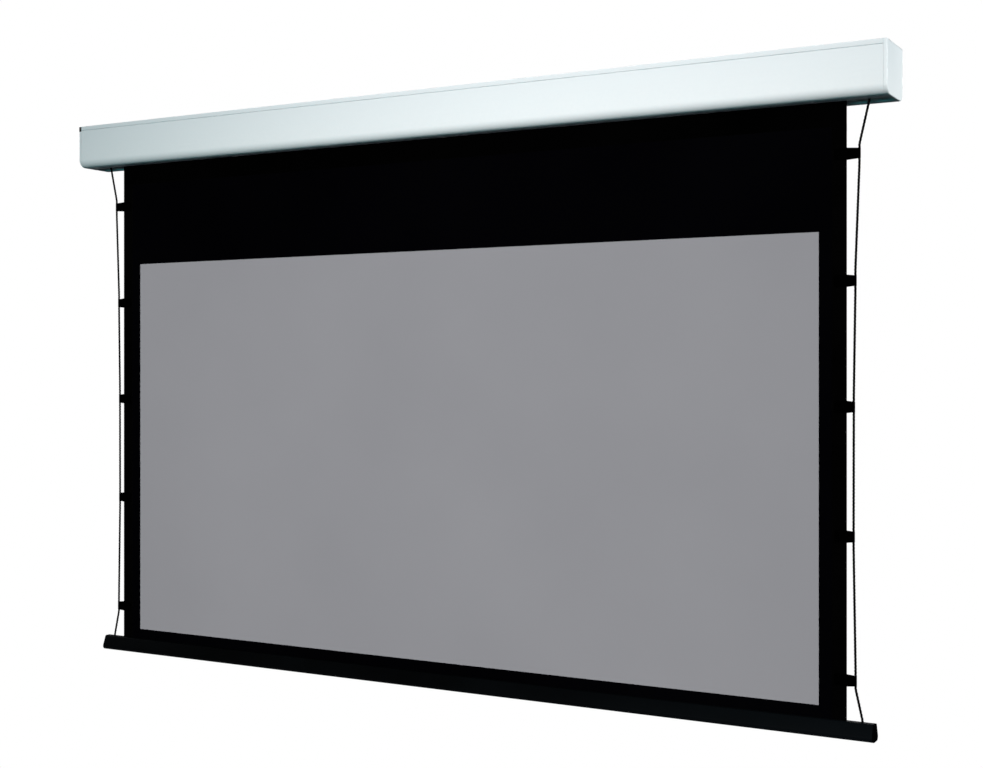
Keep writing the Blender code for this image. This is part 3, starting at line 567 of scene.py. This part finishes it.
def makeCap(settings, inside, side, word):
    front, top, low, wall = (settings[key] for key in ("front", "top", "low", "wall"))
    outer = side * settings["halfLength"]
    shape = bmesh.new()
    faces = outline(shape, [
        (front, low, settings["coverRadius"]),
        (0, low, settings["rearRadius"]),
        (0, top, settings["corner"]),
        (front, top, settings["corner"]),
    ], outer - side * settings["capLength"])
    ends = lengthen(shape, faces, side * settings["capLength"])
    rim = [edge for face in ends for edge in face.edges]
    bmesh.ops.bevel(
        shape, geom=rim, offset=settings["capEdge"], offset_type="OFFSET", affect="EDGES",
        segments=settings["capEdgeSteps"], profile=0.5, material=-1, clamp_overlap=False,
    )
    openSide = abs(outer) - settings["capLength"] + inPlane
    back = [face for face in shape.faces if all(abs(v.co.x) < openSide for v in face.verts)]
    bmesh.ops.inset_region(shape, faces=back, thickness=settings["capSkirt"], use_even_offset=True)
    bmesh.ops.translate(
        shape, vec=(side * (settings["capLength"] - settings["capPlate"]), 0, 0),
        verts=list({v for face in back for v in face.verts}),
    )
    root = abs(outer) - settings["capPlate"] / 2
    for across in (-1, 1):
        for up in (-1, 1):
            near = root - inside["bossReach"]
            middle = Vector((side * (near + root) / 2, rollerAxis[0] + across * inside["bossSpacing"] / 2,
                             rollerAxis[1] + up * inside["bossSpacing"] / 2))
            bmesh.ops.create_cone(
                shape, cap_ends=True, segments=inside["bossSides"], radius1=inside["bossRadius"],
                radius2=inside["bossRadius"], depth=root - near,
                matrix=Matrix.Translation(middle) @ Matrix.Rotation(math.pi / 2, 4, "Y"),
            )
    seat = wall + settings["gap"]
    thick, wide = inside["tongueThickness"], inside["tongueWidth"]
    near = settings["extrusionHalf"] - inside["tongueReach"]
    for (yMid, zMid), (ySize, zSize) in (
        ((front / 2, top - seat - thick / 2), (wide, thick)),
        ((-seat - thick / 2, low + settings["rearRadius"] + wide / 2), (thick, wide)),
        ((front + seat + thick / 2, low + settings["coverRadius"] + wide / 2), (thick, wide)),
    ):
        middle = Matrix.Translation((side * (near + root) / 2, yMid, zMid))
        bmesh.ops.create_cube(shape, size=1, matrix=middle @ Matrix.Diagonal((root - near, ySize, zSize, 1)))
    piece = newPiece(f"caseCap{word}", shape, [paint])
    return standIn(piece, "housing", "case_paint", f"end_cap_{word.lower()}")


receiverEye = {
    "width": 0.0098,
    "height": 0.0155,
    "depth": 0.006,
    "drop": 0.0012,
    "proud": 0.00035,
    "edge": 0.0009,
    "edgeSteps": 3,
}


def makeReceiverEye(settings, box):
    # small dark window of the remote receiver, let into the front corner of the left cap
    shape = bmesh.new()
    low = Vector((-box["halfLength"] - settings["proud"], box["front"] - settings["proud"],
                  box["top"] - settings["height"] - settings["drop"]))
    size = Vector((settings["width"], settings["depth"], settings["height"]))
    middle = Matrix.Translation(low + size / 2)
    bmesh.ops.create_cube(shape, size=1, matrix=middle @ Matrix.Diagonal((*size, 1)))
    bmesh.ops.bevel(
        shape, geom=shape.edges[:], offset=settings["edge"], offset_type="OFFSET", affect="EDGES",
        segments=settings["edgeSteps"], profile=0.5, material=-1,
    )
    return standIn(newPiece("receiverEye", shape, [eyePlastic]), "housing", "black_plastic")


gland = {
    "place": (-0.029, -0.020),  # across and up on the left cap
    "reach": 0.014,
    "boreRadius": 0.004,
    "boreDepth": 0.012,
    "neckRadius": 0.006,
    "neck": 0.009,
    "domeRadius": 0.0085,
    "domeSlope": 0.003,
    "collarRadius": 0.011,
    "collar": 0.005,
    "gap": 0.0003,
    "edge": 0.0006,
    "sides": 64,
}


def makeGland(settings, box):
    # turned about its own bore, from (radius, distance out of the cap) points
    bore, neck, dome, collar = (settings[key + "Radius"] for key in ("bore", "neck", "dome", "collar"))
    reach, edge, rim, gap = (settings[key] for key in ("reach", "edge", "collar", "gap"))
    floor = reach - settings["boreDepth"]
    profile = [
        (0, floor), (bore, floor), (bore, reach - edge / 2), (bore + edge / 2, reach), (neck, reach),
        (dome, reach - settings["domeSlope"]), (dome, rim), (collar - edge, rim), (collar, rim - edge),
        (collar, gap), (neck, gap), (neck, -settings["neck"]), (0, -settings["neck"]),
    ]
    across, up = settings["place"]
    shape = bmesh.new()
    points = [shape.verts.new((-box["halfLength"] - out, across, up + radius)) for radius, out in profile]
    edges = [shape.edges.new(pair) for pair in zip(points, points[1:])]
    bmesh.ops.spin(
        shape, geom=points + edges, cent=(0, across, up), axis=(1, 0, 0), angle=2 * math.pi,
        steps=settings["sides"], use_merge=True,
    )
    piece = newPiece("supplyGland", shape, [blackPlastic])
    return standIn(piece, "housing", "black_plastic", "cable_gland")


casePieces = [makeCover(case), makeRearShell(case)]
casePieces += [makeCap(case, capInside, side, word) for side, word in sides]
makeReceiverEye(receiverEye, case)
makeGland(gland, case)
print("case made")

bar = {
    "half": 1.2823,
    "capLength": 0.004,
    "capEdge": 0.0012,
    "capEdgeSteps": 4,
    "gap": 0.0003,
    "top": -1.62075,
    "low": -1.66525,
    "topHalf": 0.010,
    "wideHalf": 0.022,
    "shoulder": 0.013,
    "topRadius": 0.004,
    "lowRadius": 0.010,
    "slitHalf": 0.0012,
    "slitEdge": 0.0003,
    "hemDrop": 0.0075,
    "hemRadius": 0.0033,
    "hemTopRound": 0.0019,
    "hemLowRound": 0.0030,
}


def barCorners(settings):
    wide, low, lowRadius = (settings[key] for key in ("wideHalf", "low", "lowRadius"))
    half = [
        (wide, low, lowRadius),
        (wide, low + settings["shoulder"], lowRadius),
        (settings["topHalf"], settings["top"], settings["topRadius"]),
    ]
    rear = [(sheetPlane + across, up, radius) for across, up, radius in half]
    front = [(sheetPlane - across, up, radius) for across, up, radius in reversed(half)]
    return rear, front


def makeBar(settings):
    slit, hem = settings["slitHalf"], settings["hemRadius"]
    hemZ = settings["top"] - settings["hemDrop"]
    edge, topRound, lowRound = (settings[key] for key in ("slitEdge", "hemTopRound", "hemLowRound"))
    channel = [
        (slit, settings["top"], edge), (slit, hemZ + hem, 0), (hem, hemZ + hem, topRound),
        (hem, hemZ - hem, lowRound), (-hem, hemZ - hem, lowRound), (-hem, hemZ + hem, topRound),
        (-slit, hemZ + hem, 0), (-slit, settings["top"], edge),
    ]
    rear, front = barCorners(settings)
    end = settings["half"] - settings["capLength"] - settings["gap"]
    shape = bmesh.new()
    channel = [(sheetPlane + across, up, radius) for across, up, radius in channel]
    faces = outline(shape, rear + channel + front, -end)
    lengthen(shape, faces, 2 * end)
    piece = newPiece("barProfile", shape, [barBlack])
    return standIn(piece, "bottom_bar", "bar_paint", "bar_profile")


def makeBarCap(settings, side, word):
    rear, front = barCorners(settings)
    shape = bmesh.new()
    faces = outline(shape, rear + front, side * (settings["half"] - settings["capLength"]))
    ends = lengthen(shape, faces, side * settings["capLength"])
    bmesh.ops.bevel(
        shape, geom=[edge for face in ends for edge in face.edges], offset=settings["capEdge"],
        offset_type="OFFSET", affect="EDGES", segments=settings["capEdgeSteps"], profile=0.5, material=-1,
        clamp_overlap=False,
    )
    piece = newPiece(f"barCap{word}", shape, [capPlastic])
    return standIn(piece, "bottom_bar", "black_plastic", f"bar_cap_{word.lower()}")


makeBar(bar)
for side, word in sides:
    makeBarCap(bar, side, word)
print("bar made")

barTravel = 1.599
clothFoot = -1.62495
aboveBar = bar["top"] + 0.0002  # where a piece that stays out of the bar ends


def liftWithBar(piece, slot, *nodes, top=rollerAxis[1], foot=clothFoot):
    # rides with the housing in place of the plain nodes, with a mesh of its own
    standIn(piece, "housing", slot, *nodes)
    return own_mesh(piece, "bar_lift", (0, 0, 1), (0, 0, top), 1 - barTravel / (top - foot))


def flatMap(mesh):
    # the cloth's own measure: metres across and up, as it hangs
    layer = mesh.uv_layers.new(name="flat")
    for loop in mesh.loops:
        place = mesh.vertices[loop.vertex_index].co
        layer.data[loop.index].uv = (place.x, place.z)


def hang(name, low, high, cells, thickness, front, back, slot, *nodes, behind=0.0):
    # a flat rectangle of cloth with its thickness, split into cells
    width, height = high[0] - low[0], high[1] - low[1]
    middle = Vector(((low[0] + high[0]) / 2, sheetPlane + behind - thickness / 2, (low[1] + high[1]) / 2))
    shape = bmesh.new()
    turned = Matrix.Translation(middle) @ Matrix.Rotation(math.pi / 2, 4, "X")
    bmesh.ops.create_grid(
        shape, x_segments=cells[0], y_segments=cells[1], size=0.5,
        matrix=turned @ Matrix.Diagonal((width, height, 1, 1)),
    )
    made = bmesh.ops.extrude_face_region(shape, geom=shape.faces[:])["geom"]
    bmesh.ops.translate(shape, vec=(0, thickness, 0), verts=movedVerts(made))
    mesh = meshOf(name, shape)
    for face in mesh.polygons:
        face.material_index = 0 if face.normal.y < -0.5 else 1
    piece = meshPiece(name, mesh, [front, back])
    flatMap(mesh)
    return liftWithBar(piece, slot, *nodes)


cloth = {
    "sheetHalf": 1.1715,
    "fabricHalf": 1.2095,
    "seam": -0.12575,
    "foot": clothFoot,
    "thickness": 0.0005,
    "gap": 0.0003,
    "bandHeight": 0.014,
    "bandBehind": 0.00055,
    "leaderCells": (24, 6),
    "pictureCells": (24, 60),
    "stripCells": (3, 60),
}


def makeLeader(settings):
    return hang(
        "leaderCloth", (-settings["fabricHalf"], settings["seam"]), (settings["fabricHalf"], rollerAxis[1]),
        settings["leaderCells"], settings["thickness"], blackCloth, backCloth, "black_fabric", "black_leader",
    )


def makePicture(settings):
    return hang(
        "pictureCloth", (-settings["sheetHalf"], settings["foot"]),
        (settings["sheetHalf"], settings["seam"] - settings["gap"]),
        settings["pictureCells"], settings["thickness"], pictureFace, backCloth, "grey_fabric",
        "picture_sheet",
    )


def makeStrip(settings, side, word):
    near, far = sorted((side * (settings["sheetHalf"] + settings["gap"]), side * settings["fabricHalf"]))
    return hang(
        f"sideStrip{word}", (near, settings["foot"]), (far, settings["seam"] - settings["gap"]),
        settings["stripCells"], settings["thickness"], stripVinyl, backCloth, "strip_fabric",
        f"tab_strip_{word.lower()}",
    )


def makeBands(settings):
    # the welded overlaps behind the sheet's joints
    half, seam, foot, size = (settings[key] for key in ("sheetHalf", "seam", "foot", "bandHeight"))
    wide, (across, up) = settings["fabricHalf"], settings["pictureCells"]
    places = {
        "seamBand": ((-wide, seam - size), (wide, seam + size / 3), (across, 1)),
        "weldBandLeft": ((-half - size / 2, foot), (-half + size / 2, seam - size), (1, up)),
        "weldBandRight": ((half - size / 2, foot), (half + size / 2, seam - size), (1, up)),
    }
    return [
        hang(name, low, high, cells, settings["gap"], blackCloth, backCloth, "black_fabric",
             behind=settings["bandBehind"])
        for name, (low, high, cells) in places.items()
    ]


tabs = {
    "heights": (-0.19625, -0.51525, -0.83225, -1.15825, -1.51925),
    "reaches": (0.0355, 0.0253, 0.0213, 0.0208, 0.0258),
    "patch": 0.033,
    "rootHalf": 0.0155,
    "tipHalf": 0.0125,
    "cornerEase": 0.0015,
    "cornerReach": 0.001,
    "strap": 0.0006,
    "bore": 0.0031,
    "turns": 14,
}


def makeTab(settings, sheet, side, word, number):
    # a strap folded round the cord, its two legs welded to the faces of the fabric's edge
    height, reach = settings["heights"][number], settings["reaches"][number]
    outer = settings["bore"] + settings["strap"]
    middleRadius = settings["bore"] + settings["strap"] / 2
    leg = sheet["thickness"] / 2 + sheet["gap"] + settings["strap"] / 2
    edge = sheet["fabricHalf"]
    loopX = edge + reach - outer
    start = math.pi - math.asin(leg / middleRadius)
    path = [(edge - settings["patch"], leg), (edge - settings["patch"] / 2, leg), (edge, leg)]
    for i in range(settings["turns"] + 1):
        angle = start - 2 * start * i / settings["turns"]
        path.append((loopX + middleRadius * math.cos(angle), middleRadius * math.sin(angle)))
    path += [(edge, -leg), (edge - settings["patch"] / 2, -leg), (edge - settings["patch"], -leg)]
    shape = bmesh.new()
    points = [shape.verts.new((side * x, sheetPlane + y, 0)) for x, y in path]
    edges = [shape.edges.new(pair) for pair in zip(points, points[1:])]
    raised = bmesh.ops.extrude_edge_only(shape, edges=edges)["geom"]
    for vert in movedVerts(raised):
        vert.co.z = 1
    for vert in shape.verts:
        share = min(max((abs(vert.co.x) - edge) / (reach + outer), 0), 1)
        half = settings["rootHalf"] + (settings["tipHalf"] - settings["rootHalf"]) * share
        if abs(vert.co.x) < edge - settings["patch"] + settings["cornerReach"]:
            half -= settings["cornerEase"]
        vert.co.z = height + (half if vert.co.z > 0.5 else -half)
    bmesh.ops.recalc_face_normals(shape, faces=shape.faces)
    bmesh.ops.solidify(shape, geom=shape.faces[:], thickness=settings["strap"])
    piece = newPiece(f"tab{word}{number + 1}", shape, [tabVinyl])
    flatMap(piece.data)
    return liftWithBar(piece, "black_fabric", f"tab_{word.lower()}_{number + 1}", foot=aboveBar)


tensionCord = {
    "strandRadius": 0.0018,
    "strandOffset": 0.0016,
    "strands": 3,
    "roundness": 2,
    "sharpAngle": 60,
    "pitch": 0.026,
    "step": 0.0033,
    "spoolX": 1.2779,
    "spoolExit": -0.0085,
    "barX": 1.2490,
    "straight": 0.002,
    "ease": 0.08,
}


def easedShare(part, ease):
    # how far across, part of the way down: upright at both ends, straight between
    bend = 2 * ease * (1 - ease)
    if part < ease:
        return part**2 / bend
    if part > 1 - ease:
        return 1 - (1 - part) ** 2 / bend
    return (part - ease / 2) / (1 - ease)


def cordAcross(settings, tabSettings, sheet, z):
    # how far out the cord is at one height: upright in its guides, leaning between them
    outer = tabSettings["bore"] + tabSettings["strap"]
    guides = [(settings["spoolX"], rollerAxis[1], settings["spoolExit"])]
    for height, reach in zip(tabSettings["heights"], tabSettings["reaches"]):
        half = tabSettings["rootHalf"]
        guides.append((sheet["fabricHalf"] + reach - outer, height + half, height - half))
    guides.append((settings["barX"], bar["top"] + settings["straight"], sheet["foot"]))
    for (xHigh, _, zHigh), (xLow, zLow, zEnd) in zip(guides, guides[1:]):
        if z >= zHigh:
            return xHigh
        if z > zLow:
            return xHigh + (xLow - xHigh) * easedShare((zHigh - z) / (zHigh - zLow), settings["ease"])
        if z >= zEnd:
            return xLow
    return guides[-1][0]


def makeStrands(settings, side, name, top, foot):
    # twisted strands from one height to another
    curve = bpy.data.curves.new("strands", "CURVE")
    curve.dimensions = "3D"
    curve.bevel_depth = settings["strandRadius"]
    curve.bevel_resolution = settings["roundness"]
    curve.use_fill_caps = True
    count = round((top - foot) / settings["step"])
    for strand in range(settings["strands"]):
        spline = curve.splines.new("POLY")
        spline.points.add(count)
        for i, point in enumerate(spline.points):
            z = top - (top - foot) * i / count
            turn = 2 * math.pi * ((rollerAxis[1] - z) / settings["pitch"] + strand / settings["strands"])
            x = side * cordAcross(settings, tabs, cloth, z)
            point.co = (x + settings["strandOffset"] * math.cos(turn),
                        sheetPlane + settings["strandOffset"] * math.sin(turn), z, 1)
    strands = bpy.data.objects.new("strands", curve)
    scene.collection.objects.link(strands)
    bpy.context.view_layer.update()
    mesh = bpy.data.meshes.new_from_object(strands.evaluated_get(bpy.context.evaluated_depsgraph_get()))
    bpy.data.objects.remove(strands, do_unlink=True)
    mesh.name = name
    for layer in list(mesh.uv_layers):
        mesh.uv_layers.remove(layer)
    piece = meshPiece(name, mesh, [cordFibre], settings["sharpAngle"])
    flatMap(mesh)
    return piece


def makeCord(settings, side, word):
    # the end on the spool and the rest below it, made as two pieces
    middle, foot = settings["spoolExit"], aboveBar
    standIn(makeStrands(settings, side, f"cordEnd{word}", rollerAxis[1], middle), "housing", "black_cord")
    cord = makeStrands(settings, side, f"cord{word}", middle, foot)
    return liftWithBar(cord, "black_cord", f"tension_cord_{word.lower()}", top=middle, foot=foot)


leader = makeLeader(cloth)
bands = makeBands(cloth)
picture = makePicture(cloth)
strips = {word: makeStrip(cloth, side, word) for side, word in sides}
straps = {word: [makeTab(tabs, cloth, side, word, number) for number in range(len(tabs["heights"]))]
          for side, word in sides}
for side, word in sides:
    makeCord(tensionCord, side, word)
print("fabric, tabs and cords made")

roll = {
    "turns": 6.5,
    "stepsPerTurn": 48,
    "inner": 0.03055,
    "outer": 0.0337,
    "thickness": 0.0004,
    "half": cloth["fabricHalf"],
}


def makeRoll(settings):
    # the turns of fabric that stay on the roller, wound outwards from its groove
    axis = Vector((0, *rollerAxis))
    steps = round(settings["turns"] * settings["stepsPerTurn"])
    shape = bmesh.new()
    ends = [shape.verts.new((x, rollerAxis[0] - settings["inner"], rollerAxis[1]))
            for x in (-settings["half"], settings["half"])]
    edge = shape.edges.new(ends)
    growth = (settings["outer"] / settings["inner"]) ** (1 / steps)
    turn = Matrix.Rotation(2 * math.pi / settings["stepsPerTurn"], 3, "X")
    for _ in range(steps):
        made = bmesh.ops.extrude_edge_only(shape, edges=[edge])["geom"]
        verts = movedVerts(made)
        bmesh.ops.rotate(shape, cent=axis, matrix=turn, verts=verts)
        bmesh.ops.scale(shape, vec=(1, growth, growth), space=Matrix.Translation(-axis), verts=verts)
        edge = next(thing for thing in made if isinstance(thing, bmesh.types.BMEdge)
                    and all(v in verts for v in thing.verts))
    bmesh.ops.recalc_face_normals(shape, faces=shape.faces)
    bmesh.ops.solidify(shape, geom=shape.faces[:], thickness=settings["thickness"])
    piece = newPiece("woundCloth", shape, [blackCloth])
    flatMap(piece.data)
    return standIn(piece, "roller", "black_fabric", "wound_turns")


wound = makeRoll(roll)
print("wound turns made")

nodeFinishes = {
    plated: ("wall_bracket_left", "wall_bracket_right", "motor_bracket", "idler_bracket", "output_shaft",
             "idler_pin", "hem_rod", "cord_tensioner_left", "cord_tensioner_right"),
    zinc: ("motor_tube",),
    aluminium: ("roller_tube",),
    whitePlastic: ("idler_bush",),
    leadJacket: ("motor_lead", "supply_lead"),
    blackPlastic: ("motor_head", "receiver_box", "gland_nut", "motor_crown", "drive_wheel",
                   "idler_plug", "fabric_spline", "cord_spool_left", "cord_spool_right"),
}
for material, names in nodeFinishes.items():
    for name in names:
        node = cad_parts[name]
        for slotOfNode in node.material_slots:
            slotOfNode.material = material

bracketEdge = {"width": 0.0004, "steps": 2, "angle": 40}
for name in ("wall_bracket_left", "wall_bracket_right"):
    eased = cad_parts[name].modifiers.new("easedEdges", "BEVEL")
    eased.width = bracketEdge["width"]
    eased.segments = bracketEdge["steps"]
    eased.limit_method = "ANGLE"
    eased.angle_limit = math.radians(bracketEdge["angle"])

finishedNodes = [name for names in nodeFinishes.values() for name in names]
plainNodes = [name for name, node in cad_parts.items()
              if not node.hide_render and name not in finishedNodes]
print("nodes finished, left plain:", plainNodes)

light = {
    "ambient": (0.007, 0.018, 0.023),
    "screenLamp": {"place": (0.2, -6.5, -0.5), "aim": (0, 0, -0.8), "size": (4.0, 3.0),
                   "power": 462, "tint": (1.0, 0.985, 0.985)},
    "caseLamp": {"place": (0.5, -2.88, 0.63), "aim": (0.5, -0.15, 0), "size": (1.2, 0.4),
                 "power": 78, "tint": (1.0, 0.90, 0.89)},
    "caseFill": {"place": (0.0, -4.5, -0.22), "aim": (0, 0, 0), "size": (2.4, 0.4),
                 "power": 25, "tint": (0.02, 1.0, 1.10)},
    "capLamp": {"place": (5.0, -0.35, 0.5), "aim": (1.33, -0.07, 0), "size": (1.0, 1.0),
                "power": 118, "tint": (1.0, 1.04, 1.05)},
    "backLamp": {"place": (0.6, 5.0, 1.2), "aim": (0, 0, -0.6), "size": (3.5, 2.5),
                 "power": 195, "tint": (1.0, 1.0, 1.0)},
    "topLamp": {"place": (0, 0.8, 4.2), "aim": (0, 0, 0), "size": (3.0, 2.0),
                "power": 62, "tint": (1.0, 1.0, 1.0)},
    "leftLamp": {"place": (-5.0, 0.6, 0.2), "aim": (0, 0, -0.6), "size": (2.0, 2.0),
                 "power": 160, "tint": (1.0, 1.0, 1.0)},
    "leftCapLamp": {"place": (-4.2, 0.6, 0.3), "aim": (-1.33, -0.07, 0), "size": (1.0, 1.0),
                    "power": 22, "tint": (1.0, 1.04, 1.05)},
    "rightLamp": {"place": (5.0, 0.6, 0.2), "aim": (0, 0, -0.6), "size": (2.0, 2.0),
                  "power": 160, "tint": (1.0, 1.0, 1.0)},
}


def addLamp(name, settings):
    data = bpy.data.lights.new(name, "AREA")
    data.shape = "RECTANGLE"
    data.size, data.size_y = settings["size"]
    data.energy = settings["power"]
    data.color = settings["tint"]
    lamp = bpy.data.objects.new(name, data)
    lamp.location = settings["place"]
    towards = Vector(settings["aim"]) - Vector(settings["place"])
    lamp.rotation_euler = towards.to_track_quat("-Z", "Y").to_euler()
    lamp.visible_camera = False
    scene.collection.objects.link(lamp)
    return lamp


def lightOnly(lamp, pieces, wanted):
    # the lamp lights these pieces alone, or all but these
    group = bpy.data.collections.new(f"{lamp.name}Pieces")
    for piece in pieces:
        group.objects.link(piece)
    for entry in group.collection_objects:
        entry.light_linking.link_state = wanted
    lamp.light_linking.receiver_collection = group


seenRays = ("Is Camera Ray", "Is Glossy Ray", "Is Transmission Ray")


def mixByRay(tree, first, second):
    # the second shader for what is seen or mirrored, the first for the light that is shed
    rays = tree.nodes.new("ShaderNodeLightPath")
    seen = rays.outputs[seenRays[0]]
    for name in seenRays[1:]:
        either = tree.nodes.new("ShaderNodeMath")
        either.operation = "MAXIMUM"
        tree.links.new(seen, either.inputs[0])
        tree.links.new(rays.outputs[name], either.inputs[1])
        seen = either.outputs[0]
    both = tree.nodes.new("ShaderNodeMixShader")
    tree.links.new(seen, both.inputs[0])
    tree.links.new(first, both.inputs[1])
    tree.links.new(second, both.inputs[2])
    return both.outputs[0]


def addWorld(settings):
    world = bpy.data.worlds.new("studio")
    scene.world = world
    world.use_nodes = True
    tree = world.node_tree
    tree.nodes.clear()
    output = tree.nodes.new("ShaderNodeOutputWorld")
    white = tree.nodes.new("ShaderNodeBackground")
    white.inputs["Color"].default_value = (1, 1, 1, 1)
    soft = tree.nodes.new("ShaderNodeBackground")
    soft.inputs["Color"].default_value = (*settings["ambient"], 1)
    tree.links.new(mixByRay(tree, soft.outputs[0], white.outputs[0]), output.inputs[0])
    scene.view_settings.view_transform = "Standard"


lamps = {name: addLamp(name, settings) for name, settings in light.items() if name != "ambient"}
lightOnly(lamps["screenLamp"], casePieces, "EXCLUDE")
for name in ("caseLamp", "caseFill", "capLamp", "leftCapLamp"):
    lightOnly(lamps[name], casePieces, "INCLUDE")
for name in ("leftLamp", "rightLamp"):
    lightOnly(lamps[name], casePieces, "EXCLUDE")
addWorld(light)

floorPlate = {"z": -2.3, "x": (-2.0, 2.4), "y": (-2.4, 0.35), "pale": 0.8, "glow": 0.75, "shed": 0.02}


def addFloor(settings):
    shape = bmesh.new()
    (x0, x1), (y0, y1) = settings["x"], settings["y"]
    middle = Matrix.Translation(((x0 + x1) / 2, (y0 + y1) / 2, settings["z"]))
    bmesh.ops.create_grid(shape, x_segments=1, y_segments=1, size=0.5,
                          matrix=middle @ Matrix.Diagonal((x1 - x0, y1 - y0, 1, 1)))
    pale, bright, dim = ((settings[key],) * 3 + (1,) for key in ("pale", "glow", "shed"))
    finish = Finish("floor", {"Base Color": pale, "Roughness": 0.9, "Specular IOR Level": 0.1})
    tree = finish.tree
    glow = tree.nodes.new("ShaderNodeEmission")
    glow.inputs["Color"].default_value = bright
    both = tree.nodes.new("ShaderNodeAddShader")
    tree.links.new(finish.shader.outputs[0], both.inputs[0])
    tree.links.new(glow.outputs[0], both.inputs[1])
    dark = tree.nodes.new("ShaderNodeBsdfDiffuse")
    dark.inputs["Color"].default_value = dim
    upper = mixByRay(tree, dark.outputs[0], both.outputs[0])
    side = tree.nodes.new("ShaderNodeNewGeometry")
    clear = tree.nodes.new("ShaderNodeBsdfTransparent")  # seen from below, the floor is out of the way
    whole = tree.nodes.new("ShaderNodeMixShader")
    tree.links.new(side.outputs["Backfacing"], whole.inputs[0])
    tree.links.new(upper, whole.inputs[1])
    tree.links.new(clear.outputs[0], whole.inputs[2])
    tree.links.new(whole.outputs[0], finish.output.inputs[0])
    floor = newPiece("floor", shape, [finish.material])


addFloor(floorPlate)
print("lamps and floor placed")
